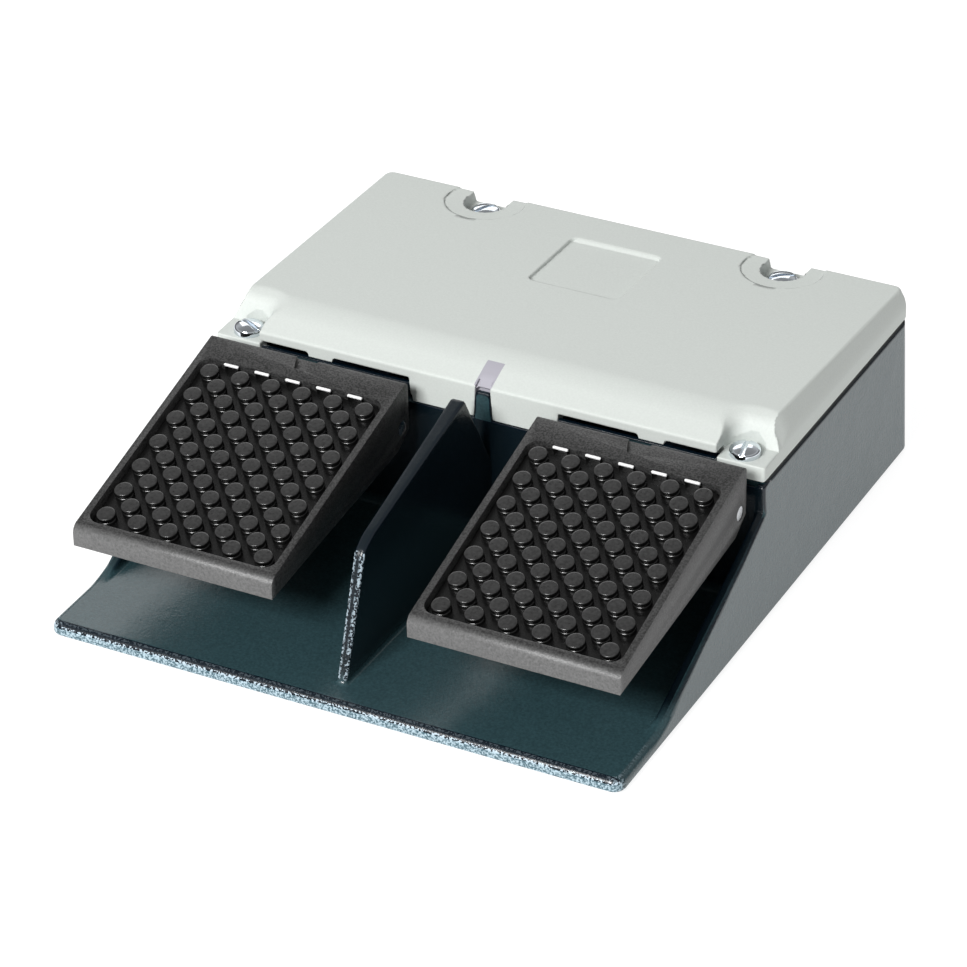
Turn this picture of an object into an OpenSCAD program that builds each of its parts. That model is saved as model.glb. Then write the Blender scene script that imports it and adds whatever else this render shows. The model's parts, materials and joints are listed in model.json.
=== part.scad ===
// Double foot switch: cast base with a divider, screwed cover, and two studded pedals.
// Each pedal turns on a pin, presses a plunger through the front wall and works its own switch.
// Lengths are in millimetres. X runs to the right, Y to the rear, Z up. The origin is on the
// floor below the middle of the whole. Inside the modules Y counts from the base's front edge
// and Z from its underside, and placed() moves them into the frame.

/* [Base] */
// Width of the base over the side walls
base_w = 240; // [232:1:252]
// Depth of the base from its front edge to its rear face
base_d = 270; // [264:1:296]
// Thickness of the floor plate
floor_t = 5.5; // [4:0.5:7]
// Thickness of the side, front and rear walls
wall_t = 5.5; // [5:0.5:7]
// Height of the compartment walls
wall_h = 57.7; // [57:0.1:60]
// Inward draft of each side wall from the floor to the wall's top
wall_draft = 2; // [0:0.25:2.5]
// Radius of the base's rear corners
rear_r = 8; // [3:0.5:9]
// Distance from the front edge to the compartment's front face
bay_y = 128; // [126:0.5:132]
// Distance from the front edge to the foot of the sloping side walls
slope_y = 33; // [20:1:45]
// Height of the sloping side walls where they meet the compartment
slope_z = 46; // [40:0.5:50]
// Radius of the floor plate's front corners
corner_r = 10; // [4:1:18]
// Radius of the floor plate's rounded front edge
front_edge_r = 2.5; // [1:0.25:2.75]
// Height of the front wall's visible top between the pedals
sill_z = 56.4; // [54:0.2:57]
// Width of the locating tab at its foot
tab_foot_w = 7.6; // [6:0.2:10]
// Width of the locating tab at its top
tab_top_w = 5.8; // [4:0.2:6]
// Height of the locating tab's top
tab_z = 68.2; // [64:0.2:69]

/* [Divider] */
// Thickness of the divider at its front edge
divider_front_t = 3.6; // [3:0.2:5]
// Thickness of the divider at the front wall
divider_back_t = 6.5; // [5:0.25:10]
// Distance from the front edge to the divider's foot
divider_foot_y = 11.4; // [8:0.4:20]
// Distance from the front edge to the divider's knee
divider_knee_y = 28.3; // [22:0.1:34]
// Height of the divider's knee
divider_knee_z = 53.2; // [44:0.2:54]
// Distance from the front edge to the divider's highest point
divider_peak_y = 108.4; // [100:0.2:112]
// Height of the divider's highest point
divider_peak_z = 76.2; // [72:0.2:78]

/* [Cover] */
// Thickness of the flat gasket under the cover
gasket_t = 1.4; // [1:0.1:1.6]
// Distance of the cover's sides from the outside of the walls' tops
cover_inset = 0.3; // [0.1:0.1:0.8]
// Height of the cover's upright lip at the rear
lip_back_h = 6.9; // [5:0.1:8]
// Height of the cover's upright lip at the front
lip_front_h = 9.2; // [8:0.1:10]
// Height of the cover's top above its lower edge at the rear
crown_back_h = 12.6; // [11.6:0.1:13.6]
// Rise of the cover's top toward the front in degrees
crown_tilt = 2.35; // [1.8:0.05:3]
// Inward lean of the cover's sides and rear above the lip in degrees
side_lean = 24.5; // [16:0.5:28]
// Depth of the front bevel from front to back
bevel_d = 15.2; // [12:0.2:18]
// Slope of the front bevel in degrees
bevel_tilt = 22.2; // [18:0.2:26]
// Wall thickness of the cover
cover_t = 3; // [2:0.25:3.5]
// Thickness of the cover's front wall
cover_front_t = 5.6; // [5:0.1:6]
// Side of the blank label recess across the cover
label_w = 40; // [20:1:60]
// Side of the blank label recess from front to back
label_l = 41.5; // [20:0.5:50]
// Depth of the blank label recess
label_depth = 1.4; // [0.6:0.2:1.8]
// Distance from the rear face to the label recess
label_back = 23.2; // [20:0.2:40]

/* [Cover screws] */
// Head diameter of the cover screws
screw_head_d = 12; // [10:0.25:13]
// Head height of the cover screws
screw_head_h = 3.9; // [3:0.1:4.2]
// Thread diameter of the cover screws
screw_d = 6; // [5:0.5:6]
// Length of the cover screws under the head
screw_l = 20; // [14:1:30]
// Distance of the front screws from the middle
front_screw_x = 106.7; // [105:0.1:107.5]
// Distance of the front screws behind the front wall's face
front_screw_back = 6.9; // [6.7:0.1:8]
// Distance of the rear screws from the middle
rear_screw_x = 66.5; // [50:0.5:80]
// Distance of the rear screws in front of the rear face
rear_screw_in = 10; // [9:0.1:11]
// Height of the screw seats above the cover's lower edge
seat_h = 6.4; // [5.6:0.1:6.8]
// Clearance around the front screws' heads
screw_counter = 2.7; // [1:0.1:3]

/* [Pedals] */
// Width of a pedal
pedal_w = 85.8; // [80:0.2:86.2]
// Gap between a pedal and the side wall
pedal_side_gap = 0.55; // [0.45:0.05:2]
// Distance from the front edge to the pedals' front lip
pedal_front_y = 12.3; // [8:0.1:20]
// Height of the pedals' top at the front lip
pedal_front_z = 42.5; // [42:0.1:44]
// Slope of the pedals' top in degrees
pedal_tilt = 14.6; // [14:0.1:15]
// Height of the front lip's lower edge
lip_bottom_z = 34.2; // [30:0.2:36]
// Rounding of the pedals' front top edge
lip_r = 4; // [2:0.5:5]
// Thickness of the pedals' side skirts
skirt_t = 3.2; // [2.4:0.2:4]
// Thickness of the plate under the stud mat
pedal_plate_t = 2.4; // [2:0.2:3]
// Gap between the pedals' rear edge and the front wall
pedal_back_gap = 7.8; // [7.4:0.1:8.6]
// Angle through which a pedal is pressed, in degrees
pedal_travel = 8; // [6:0.5:8]

/* [Stud mats] */
// Distance between studs across the pedal
stud_pitch = 13.6; // [13:0.05:14]
// Number of studs in the long rows
studs_across = 6; // [4:1:6]
// Number of rows of studs, long and short ones together
stud_rows = 13; // [9:2:13]
// Diameter of a stud's head
stud_d = 7.5; // [5:0.25:8]
// Height of a stud above the mat
stud_h = 4; // [3:0.2:4.4]
// Thickness of the mat
mat_t = 0.8; // [0.6:0.1:1.2]
// Height of the studs above the pedal's rim
stud_proud = 0.4; // [0:0.1:1]

/* [Hinges and plungers] */
// Diameter of the hinge pins
pin_d = 6; // [5:0.5:7]
// Height of the hinge pins
pin_z = 52.2; // [51.5:0.1:52.8]
// Distance of the hinge pins in front of the front wall
pin_front = 13; // [12.6:0.1:13.6]
// Running clearance around the hinge pins
pin_gap = 0.05; // [0.03:0.01:0.1]
// Distance of the plungers below the hinge pins
plunger_drop = 20; // [18:0.5:22]
// Diameter of the plungers
plunger_d = 8; // [6:0.5:9]
// Outer diameter of the return springs
spring_d = 14; // [12:0.5:16]
// Wire diameter of the return springs
spring_wire_d = 1.5; // [1:0.1:1.8]
// Number of turns of the return springs
spring_turns = 11; // [8:1:13]

/* [Switches] */
// Width of a switch body
switch_w = 30; // [24:1:34]
// Length of a switch body
switch_l = 44; // [36:1:50]
// Height of a switch body
switch_h = 36; // [34:1:40]

/* [Cable gland] */
// Thread diameter of the cable gland
gland_d = 20; // [18:1:24]
// Diameter of the cable that the gland's seal takes
cable_d = 10; // [8:0.5:11]
// Height of the cable gland's middle
gland_z = 32; // [28:1:36]

/* [Feet] */
// Diameter of the rubber feet
foot_d = 18; // [12:1:24]
// Height of the rubber feet below the base
foot_proud = 1.2; // [1:0.1:2]
// Distance of the feet from the base's edges
foot_inset = 18; // [16:1:30]

/* [Hidden] */
$fn = 48;
eps = 0.01;
fit_gap = 0.3;
press_gap = 0.02;
touch_gap = 0.05;

bay_in = bay_y + wall_t;
rear_in = base_d - wall_t;
side_in = base_w / 2 - wall_t;
cover_x = base_w / 2 - wall_draft - cover_inset;
cover_rear = base_d - cover_inset;
cover_r = rear_r - 2;
lean = tan(side_lean);
cover_z = wall_h + gasket_t;
crown_back_z = cover_z + crown_back_h;
crease_y = bay_y + bevel_d;
crown_front_z = crown_back_z + (base_d - crease_y) * tan(crown_tilt);
front_screw_y = bay_y + front_screw_back;
rear_screw_y = base_d - rear_screw_in;
seat_z = cover_z + seat_h;
boss_r = screw_d / 2 + 3.5;
gasket_inset = 0.5;
screw_hole_r = screw_d / 2 + fit_gap;
screw_thread_r = screw_d / 2;
screw_points = [
    [-front_screw_x, front_screw_y],
    [front_screw_x, front_screw_y],
    [-rear_screw_x, rear_screw_y],
    [rear_screw_x, rear_screw_y]
];

// The cover's apron between the pedals laps over the front wall, and a fence of the
// base stands behind each pedal below the cover's edge.
apron_t = 2.3;
apron_gap = 0.4;
fence_gap = 0.4;
eave_h = 7.7;
tongue_drop = 2;
leg_w = 19.7;
block_l = 42;
block_h = 30;
well_gap = 3;
dish_r = 16.8;
dish_depth = 0.7;
tongue_w = 8.4;
eave_z = cover_z + eave_h;
eave_in = 31;
eave_out = cover_x - leg_w;
fence_w = eave_out - eave_in - 2 * fit_gap;

pedal_x = side_in - pedal_side_gap - pedal_w / 2;
pedal_back_y = bay_y - pedal_back_gap;
pedal_rise = tan(pedal_tilt);
pin_y = bay_y - pin_front;
plunger_z = pin_z - plunger_drop;
pin_r = pin_d / 2;
lip_t = 4;
skirt_knee_y = pin_y - 4;
skirt_knee_z = pin_z - 8.5;
skirt_heel_z = pin_z - 2.8;
rim_front = 5.2;
rim_side = 3.1;
mat_corner_r = 5;
stud_row_pitch = stud_pitch / 2;
stud_field = (stud_rows - 1) * stud_row_pitch;
mat_w = pedal_w - 2 * rim_side;
mat_front = 1.3 + stud_d / 2;
mat_l = stud_field + 2 * mat_front + 1;
recess_depth = stud_h + mat_t - stud_proud;
plate_drop = (recess_depth + pedal_plate_t) / cos(pedal_tilt);
function pedal_top(y) = pedal_front_z + (y - pedal_front_y) * pedal_rise;
function pedal_under(y) = pedal_top(y) - plate_drop;

lug_t = 8;
lug_inset = 14.9;
lug_x = pedal_w / 2 - lug_inset;
lug_r = 7.5;
lug_top_z = pin_z + lug_r;
bush_r = pin_r + 1.5;
bush_flange_r = bush_r + 1.5;
bush_flange_t = 1;
web_w = 12;
nose_r = 6;
nose_back_y = pin_y + nose_r;
plunger_tip_y = nose_back_y + touch_gap;
plunger_travel = plunger_drop * pedal_travel * PI / 180;
plunger_head_r = plunger_d / 2 + 2.5;
plunger_head_t = 3;
guide_r = plunger_d / 2 + 2;
guide_l = 9.5;
seal_r = guide_r + 1;
seal_t = 2.3;
guide_y = bay_y + 0.2 + seal_t;
guide_end_y = guide_y + guide_l;
plunger_head_y = guide_end_y + fit_gap;
bumper_z = plunger_z - 9.3;
bumper_r = 4;
bumper_proud = 1.2;
bumper_stem_r = 2;

spring_in = 27.5;
spring_y = pin_y - spring_in;
spring_foot_h = 2;
spring_seat_gap = 0.1;
spring_foot_z = floor_t + spring_foot_h;
spring_top_z = pedal_under(spring_y) - 3;
spring_r = (spring_d - spring_wire_d) / 2;
spigot_r = spring_r - spring_wire_d / 2 - 0.6;
spigot_h = 5;

actuator_r = 2.5;
actuator_y = plunger_head_y + plunger_head_t;
actuator_out = plunger_travel + 4;
actuator_in = 6;
switch_y = actuator_y + actuator_out;
switch_foot_z = floor_t + 6;
switch_flange_t = 3;
switch_screw_x = switch_w / 2 + 4;
switch_screw_d = 4;
switch_screw_in = 8;
switch_screw_grip = 4.5;
switch_post_r = 4.5;
terminal_r = 3;
terminal_x = switch_w / 4;
terminal_rows = [0.3, 0.55, 0.8];

gland_r = gland_d / 2;
gland_bore_r = cable_d / 2 + 0.6;
gland_hex_r = gland_r + 4;
gland_hex_t = 5;
gland_barrel_r = gland_r - 1.5;
gland_barrel_l = 9;
gland_seal_l = 7;
gland_nut_t = 5;
gland_cap_r = gland_r + 2.7;
gland_cap_l = 11;
gland_dome_l = 5;
gland_cap_gap = 1.5;
gland_out = gland_hex_t + gland_cap_gap + gland_cap_l + gland_dome_l;
whole_l = base_d + gland_out;

earth_x = 34;
earth_in = 20;
earth_y = rear_in - earth_in;
earth_boss_r = 5;
earth_boss_h = 8;
foot_depth = 2.5;
slope_blend = 20;
spring_rings = 8;
spring_sides = 6;

module placed() {
    translate([0, -whole_l / 2, foot_proud]) children();
}

// Extrudes an outline drawn in Y and Z across X, centred on x.
module side_plate(x, thickness) {
    translate([x - thickness / 2, 0, 0])
        rotate([90, 0, 90])
            linear_extrude(height = thickness) children();
}

// Extrudes an outline drawn in X and Z from y to the rear.
module front_plate(y, depth) {
    translate([0, y + depth, 0])
        rotate([90, 0, 0])
            linear_extrude(height = depth) children();
}

module rod_x(x0, x1, y, z, r) {
    translate([x0, y, z]) rotate([0, 90, 0]) cylinder(h = x1 - x0, r = r);
}

module rod_y(x, y0, y1, z, r, sides = 0) {
    translate([x, y1, z]) rotate([90, 0, 0]) cylinder(h = y1 - y0, r = r, $fn = sides > 0 ? sides : $fn);
}

module rounded_rect(w, l, r) {
    square([w - 2 * r, l], center = true);
    square([w, l - 2 * r], center = true);
    for (x = [-1, 1], y = [-1, 1])
        translate([x * (w / 2 - r), y * (l / 2 - r)]) circle(r = r);
}

function arc(cx, cy, r, a0, a1, n) =
    [for (i = [0 : n]) [cx + r * cos(a0 + (a1 - a0) * i / n), cy + r * sin(a0 + (a1 - a0) * i / n)]];

// Base housing

module floor_plate() {
    intersection() {
        side_plate(0, base_w)
            union() {
                translate([front_edge_r, 0]) square([base_d - front_edge_r, floor_t]);
                translate([front_edge_r, front_edge_r]) circle(r = front_edge_r);
                translate([front_edge_r, floor_t - front_edge_r]) circle(r = front_edge_r);
                translate([0, front_edge_r]) square([front_edge_r, floor_t - 2 * front_edge_r]);
            }
        linear_extrude(height = floor_t)
            union() {
                translate([-base_w / 2, corner_r]) square([base_w, base_d - corner_r]);
                translate([corner_r - base_w / 2, 0]) square([base_w - 2 * corner_r, base_d]);
                for (side = [-1, 1])
                    translate([side * (base_w / 2 - corner_r), corner_r]) circle(r = corner_r);
            }
    }
}

module side_walls() {
    intersection() {
        for (side = [-1, 1])
            side_plate(side * (base_w - wall_t) / 2, wall_t)
                polygon([
                    [slope_y, 0], [base_d, 0], [base_d, wall_h], [bay_y, wall_h],
                    [bay_y, slope_z], [bay_y - slope_blend, slope_z - slope_blend * 0.5],
                    [slope_y, floor_t]
                ]);
        front_plate(0, base_d)
            polygon([
                [-base_w / 2, 0], [base_w / 2, 0], [base_w / 2 - wall_draft, wall_h],
                [wall_draft - base_w / 2, wall_h]
            ]);
    }
}

// The footprint of the compartment with its rounded rear corners.
module footprint(half_w, rear, r) {
    translate([-half_w, 0]) square([2 * half_w, rear - r]);
    translate([r - half_w, 0]) square([2 * (half_w - r), rear]);
    for (side = [-1, 1]) translate([side * (half_w - r), rear - r]) circle(r = r);
}

module divider() {
    intersection() {
        side_plate(0, divider_back_t)
            polygon([
                [divider_foot_y, 0],
                [divider_foot_y, floor_t],
                [divider_knee_y, divider_knee_z],
                [divider_knee_y + 6, divider_knee_z + 4.1],
                [divider_peak_y, divider_peak_z],
                [divider_peak_y + (divider_peak_z - sill_z) / 1.84, sill_z],
                [bay_y + eps, sill_z - 8],
                [bay_y + eps, 0]
            ]);
        linear_extrude(height = divider_peak_z)
            polygon([
                [-divider_front_t / 2, 0], [divider_front_t / 2, 0],
                [divider_back_t / 2, bay_y + 1], [-divider_back_t / 2, bay_y + 1]
            ]);
    }
}

module front_wall() {
    seal_y = bay_y + apron_t + apron_gap;
    translate([-side_in, bay_y, 0]) cube([2 * side_in, wall_t, sill_z]);
    translate([-side_in, seal_y, 0]) cube([2 * side_in, bay_in - seal_y, wall_h]);
    for (side = [-1, 1])
        translate([side * (eave_in + eave_out) / 2 - fence_w / 2, bay_y + fence_gap, sill_z - eps])
            cube([fence_w, apron_t - fence_gap, eave_z - sill_z - tongue_drop - fit_gap]);
}

module locating_tab() {
    front_plate(bay_y, apron_t)
        polygon([
            [-tab_foot_w / 2, sill_z - eps], [tab_foot_w / 2, sill_z - eps],
            [tab_top_w / 2, tab_z], [-tab_top_w / 2, tab_z]
        ]);
}

module pin_lugs() {
    for (side = [-1, 1], end = [-1, 1])
        side_plate(side * pedal_x + end * lug_x, lug_t)
            union() {
                translate([pin_y, pin_z]) circle(r = lug_r);
                translate([pin_y, pin_z]) square([bay_y - pin_y + eps, lug_r]);
                polygon([
                    [pin_y - lug_r * sin(20), pin_z - lug_r * cos(20)],
                    [bay_y + eps, pin_z - lug_r - 9],
                    [bay_y + eps, pin_z],
                    [pin_y, pin_z]
                ]);
            }
}

module base_bosses() {
    for (p = screw_points)
        translate([p[0], p[1], 0]) cylinder(h = wall_h, r = boss_r);
    for (side = [-1, 1]) {
        rod_y(side * pedal_x, bay_in - eps, guide_end_y - 2, plunger_z, guide_r + 3);
        translate([side * pedal_x, spring_y, 0]) cylinder(h = spring_foot_z, r = spring_d / 2 + 1.5);
        translate([side * pedal_x, spring_y, 0]) cylinder(h = spring_foot_z + spigot_h, r = spigot_r);
        for (x = [-1, 1], y = [switch_screw_in, switch_l - switch_screw_in])
            translate([side * pedal_x + x * switch_screw_x, switch_y + y, 0])
                cylinder(h = switch_foot_z, r = switch_post_r);
    }
    translate([earth_x, earth_y, 0]) cylinder(h = floor_t + earth_boss_h, r = earth_boss_r);
}

module base_holes() {
    for (p = screw_points)
        translate([p[0], p[1], seat_z - screw_l - 2]) cylinder(h = screw_l + 2, r = screw_thread_r);
    for (side = [-1, 1]) {
        rod_x(side * pedal_x - lug_x - lug_t, side * pedal_x + lug_x + lug_t, pin_y, pin_z, bush_r);
        rod_y(side * pedal_x, bay_y - 1, guide_end_y, plunger_z, guide_r);
        rod_y(side * pedal_x, bay_y - 1, guide_y, plunger_z, seal_r);
        rod_y(side * pedal_x, bay_y - 1, bay_in - 1, bumper_z, bumper_stem_r);
        for (x = [-1, 1], y = [switch_screw_in, switch_l - switch_screw_in])
            translate([side * pedal_x + x * switch_screw_x, switch_y + y, floor_t])
                cylinder(h = switch_foot_z, r = switch_screw_d / 2);
        for (y = [foot_inset, base_d - foot_inset])
            translate([side * (base_w / 2 - foot_inset), y, -1])
                cylinder(h = 1 + foot_depth, r = foot_d / 2 + press_gap);
    }
    translate([earth_x, earth_y, floor_t]) cylinder(h = earth_boss_h + 1, r = 2.5);
    rod_y(0, rear_in - 1, base_d + 1, gland_z, gland_r);
}

module base_housing() {
    color("#1f2d36")
        placed()
            difference() {
                union() {
                    intersection() {
                        union() {
                            floor_plate();
                            side_walls();
                        }
                        linear_extrude(height = wall_h) footprint(base_w / 2, base_d, rear_r);
                    }
                    translate([-side_in, rear_in, 0]) cube([2 * side_in, wall_t, wall_h]);
                    front_wall();
                    locating_tab();
                    divider();
                    pin_lugs();
                    intersection() {
                        base_bosses();
                        translate([-base_w / 2, 0, 0]) cube([base_w, base_d, wall_h]);
                    }
                }
                base_holes();
            }
}

module rubber_feet() {
    color("#202020")
        placed()
            for (side = [-1, 1], y = [foot_inset, base_d - foot_inset])
                translate([side * (base_w / 2 - foot_inset), y, -foot_proud])
                    cylinder(h = foot_proud + foot_depth, r = foot_d / 2);
}

// Cover

function crown_z(y) = crown_back_z + (base_d - y) * tan(crown_tilt);
function lip_z(y) = cover_z + lip_back_h + (lip_front_h - lip_back_h) * (base_d - y) / (base_d - bay_y);

// The cover's outer form, drawn in by t on every side but the bottom.
module cover_form(t, y0) {
    tall = crown_front_z - cover_z;
    slant = atan((lip_front_h - lip_back_h) / (base_d - bay_y));
    rear = cover_rear - t;
    intersection() {
        side_plate(0, 2 * (cover_x - t))
            polygon([
                [y0, cover_z], [rear, cover_z], [rear, lip_z(rear)],
                [rear - lean * (crown_z(rear) - lip_z(rear)), crown_z(rear) - t],
                [crease_y, crown_front_z - t],
                [y0, crown_front_z - t - (crease_y - y0) * tan(bevel_tilt)]
            ]);
        translate([0, base_d, lip_z(base_d)])
            rotate([-slant, 0, 0])
                front_plate(-base_d, base_d + 2 * cover_t)
                    polygon([
                        [-cover_x + t, -3 * tall], [cover_x - t, -3 * tall], [cover_x - t, 0],
                        [cover_x - t - 2 * tall * lean, 2 * tall],
                        [-cover_x + t + 2 * tall * lean, 2 * tall], [-cover_x + t, 0]
                    ]);
        translate([0, 0, cover_z - tall]) linear_extrude(height = 3 * tall) footprint(cover_x - t, rear, cover_r);
    }
}

// Sunk corner around a front screw: a level seat, a steep wall behind it and a shallow shelf
// that rises from the wall's top to the curved crest.
module corner_pocket() {
    side = cover_x + 1;
    front = bay_y - 1;
    wall_y = bay_y + 13.3;
    shelf_y = wall_y + 5.7;
    inner_x = front_screw_x - screw_head_d / 2 - screw_counter;
    shelf_h = 9.5;
    crest_y = shelf_y + 5.4;
    facet_h = crown_front_z - seat_z;
    hull() {
        translate([0, 0, seat_z])
            linear_extrude(height = eps)
                polygon([[inner_x, front], [side, front], [side, wall_y], [inner_x + 2, wall_y]]);
        translate([0, 0, seat_z + shelf_h])
            linear_extrude(height = eps)
                polygon([[inner_x, front], [side, front], [side, shelf_y], [inner_x, shelf_y]]);
    }
    hull() {
        translate([0, 0, seat_z + shelf_h])
            linear_extrude(height = eps)
                polygon([[inner_x, front], [side, front], [side, shelf_y], [inner_x - 2, shelf_y]]);
        translate([0, 0, crown_front_z])
            linear_extrude(height = eps)
                polygon([
                    [inner_x - 4.5, front], [side, front], [side, crest_y],
                    [side - 5, crest_y + 0.4], [front_screw_x + 2.5, crest_y + 3],
                    [front_screw_x - 4, crest_y + 3.4], [inner_x - 1, crest_y + 1],
                    [inner_x - 4.5, crest_y - 3.4]
                ]);
    }
    front_plate(front, crest_y - front)
        polygon([
            [cover_x, seat_z], [cover_x - lean * facet_h, crown_front_z],
            [side, crown_front_z], [side, seat_z]
        ]);
    translate([front_screw_x, front_screw_y, seat_z])
        cylinder(h = crown_back_h + 10, r = screw_head_d / 2 + screw_counter);
}

// Well round a rear screw, open to the rear, in a shallow dish of the crown.
module rear_notch() {
    notch_r = screw_head_d / 2 + well_gap;
    translate([rear_screw_x, rear_screw_y, seat_z]) {
        cylinder(h = crown_back_h, r = notch_r);
        translate([-notch_r, 0, 0]) cube([2 * notch_r, rear_screw_in + 1, crown_back_h]);
    }
    translate([rear_screw_x, rear_screw_y, crown_z(rear_screw_y) - dish_depth])
        rotate([-crown_tilt, 0, 0]) cylinder(h = 3, r = dish_r);
}

module cover_blocks() {
    block_w = screw_head_d + 12;
    for (side = [-1, 1]) {
        translate([side * (cover_x - leg_w / 2), front_screw_y, cover_z + block_h / 2])
            cube([leg_w + 10, block_l, block_h], center = true);
        translate([side * rear_screw_x, base_d - rear_screw_in, cover_z + block_h / 2])
            cube([block_w, block_w + 2 * rear_screw_in, block_h], center = true);
    }
}

module pedal_eaves() {
    tongue_in = pedal_x - tongue_w / 2;
    tongue_out = pedal_x + tongue_w / 2;
    for (side = [0, 1])
        mirror([side, 0, 0])
            front_plate(bay_y - 1, apron_t + 1 + eps)
                polygon([
                    [eave_in - 1, cover_z - 1], [eave_out, cover_z - 1],
                    [eave_out, eave_z], [tongue_out + 1.2, eave_z],
                    [tongue_out, eave_z - tongue_drop], [tongue_in, eave_z - tongue_drop],
                    [tongue_in - 1.2, eave_z], [eave_in + 2, eave_z], [eave_in, eave_z - 2]
                ]);
}

module cover_apron() {
    apron_w = 2 * (eave_in - 1);
    translate([-apron_w / 2, bay_y, sill_z + fit_gap])
        cube([apron_w, apron_t, cover_z - sill_z]);
}

module tab_notch() {
    front_plate(bay_y - 1, apron_t + 1 + fit_gap)
        polygon([
            [-tab_foot_w / 2 - fit_gap, sill_z - 1], [tab_foot_w / 2 + fit_gap, sill_z - 1],
            [tab_top_w / 2 + fit_gap, tab_z + fit_gap], [-tab_top_w / 2 - fit_gap, tab_z + fit_gap]
        ]);
}

module label_recess() {
    label_y = base_d - label_back - label_l / 2;
    translate([0, label_y, crown_z(label_y)])
        rotate([-crown_tilt, 0, 0])
            translate([0, 0, -label_depth])
                linear_extrude(height = 5) rounded_rect(label_w, label_l, 3);
}

module cover() {
    color("#c9cdc9")
        placed()
            difference() {
                union() {
                    difference() {
                        cover_form(0, bay_y);
                        difference() {
                            translate([0, 0, -eps]) cover_form(cover_t, bay_y + cover_front_t);
                            cover_blocks();
                        }
                    }
                    cover_apron();
                }
                pedal_eaves();
                tab_notch();
                label_recess();
                for (side = [0, 1]) mirror([side, 0, 0]) {
                    corner_pocket();
                    rear_notch();
                }
                for (p = screw_points)
                    translate([p[0], p[1], cover_z - 1]) cylinder(h = seat_h + 2, r = screw_hole_r);
            }
}

module cover_gasket() {
    seal_y = bay_y + apron_t + apron_gap;
    land_x = cover_x - gasket_inset;
    color("#141414")
        placed()
            translate([0, 0, wall_h])
                linear_extrude(height = gasket_t)
                    difference() {
                        intersection() {
                            union() {
                                difference() {
                                    translate([-land_x, seal_y]) square([2 * land_x, base_d - seal_y]);
                                    translate([-side_in, bay_in]) square([2 * side_in, rear_in - bay_in]);
                                }
                                for (p = screw_points) translate([p[0], p[1]]) circle(r = boss_r);
                            }
                            translate([-land_x, seal_y]) square([2 * land_x, base_d - seal_y]);
                            footprint(land_x, base_d - gasket_inset, rear_r - gasket_inset);
                        }
                        for (p = screw_points) translate([p[0], p[1]]) circle(r = screw_hole_r);
                    }
}

// Slotted pan-head screw seated on the cover
module cover_screw() {
    slot_w = 1.6;
    slot_depth = screw_head_h / 2;
    difference() {
        union() {
            translate([0, 0, -screw_l]) cylinder(h = screw_l, r = screw_thread_r - press_gap);
            cylinder(h = screw_head_h * 0.6, r = screw_head_d / 2);
            translate([0, 0, screw_head_h * 0.6])
                cylinder(h = screw_head_h * 0.4, r1 = screw_head_d / 2, r2 = screw_head_d / 2 - 1.6);
        }
        translate([0, 0, screw_head_h - slot_depth / 2 + eps])
            cube([screw_head_d + 2, slot_w, slot_depth], center = true);
    }
}

module front_cover_screws() {
    color("#c8cccf")
        placed()
            for (i = [0, 1])
                translate([screw_points[i][0], screw_points[i][1], seat_z])
                    rotate([0, 0, 20]) cover_screw();
}

module rear_cover_screws() {
    color("#c8cccf")
        placed()
            for (i = [2, 3])
                translate([screw_points[i][0], screw_points[i][1], seat_z])
                    rotate([0, 0, 20]) cover_screw();
}

// Pedals

module pedal_outline() {
    turn = 90 - pedal_tilt;
    rear_r = 2;
    front_c = [pedal_front_y + lip_r, pedal_top(pedal_front_y + lip_r) - lip_r / cos(pedal_tilt)];
    rear_c = [pedal_back_y - rear_r, pedal_top(pedal_back_y - rear_r) - rear_r / cos(pedal_tilt)];
    polygon(concat(
        [[pedal_front_y, lip_bottom_z], [skirt_knee_y, skirt_knee_z], [pedal_back_y, skirt_heel_z]],
        arc(rear_c[0], rear_c[1], rear_r, 0, 90 + pedal_tilt, 6),
        arc(front_c[0], front_c[1], lip_r, 90 + pedal_tilt, 180, 6)
    ));
}

module pedal_cavity() {
    polygon([
        [pedal_front_y + lip_t, lip_bottom_z - 10],
        [pedal_front_y + lip_t, pedal_under(pedal_front_y + lip_t)],
        [pedal_back_y - lip_t, pedal_under(pedal_back_y - lip_t)],
        [pedal_back_y - lip_t, lug_top_z + touch_gap],
        [pedal_back_y + 1, lug_top_z + touch_gap],
        [pedal_back_y + 1, lip_bottom_z - 10]
    ]);
}

// Moves into the plane of the pedal's top, with Y up the slope from the front edge.
module on_pedal_top() {
    translate([0, pedal_front_y, pedal_front_z]) rotate([pedal_tilt, 0, 0]) children();
}

module pedal_web() {
    side_plate(0, web_w)
        union() {
            polygon([
                [pin_y - 16, pedal_under(pin_y - 16) + 1],
                [pin_y + 1, pedal_under(pin_y + 1) + 1],
                [pin_y + 4, pin_z],
                [nose_back_y - nose_r * 0.35, plunger_z + nose_r],
                [pin_y, plunger_z - 4],
                [pin_y - 6, plunger_z - 4]
            ]);
            translate([pin_y, pin_z]) circle(r = pin_r + 3.5);
            translate([pin_y, plunger_z]) circle(r = nose_r);
            translate([pin_y, pin_z])
                rotate(-pedal_travel)
                    translate([-5, bumper_z - bumper_r - pin_z])
                        square([5 + pin_front - bumper_proud - touch_gap * 2, 2 * bumper_r - 1]);
            translate([pin_y - 6, bumper_z - 2]) square([6, 12]);
        }
}

module pedal_notch() {
    slope_l = (pedal_back_y - pedal_front_y) / cos(pedal_tilt);
    on_pedal_top()
        translate([0, slope_l, -2.2])
            linear_extrude(height = 6)
                polygon([[-5.3, 1], [5.3, 1], [5.3, -0.6], [2.6, -8], [-2.6, -8], [-5.3, -0.6]]);
}

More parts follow.
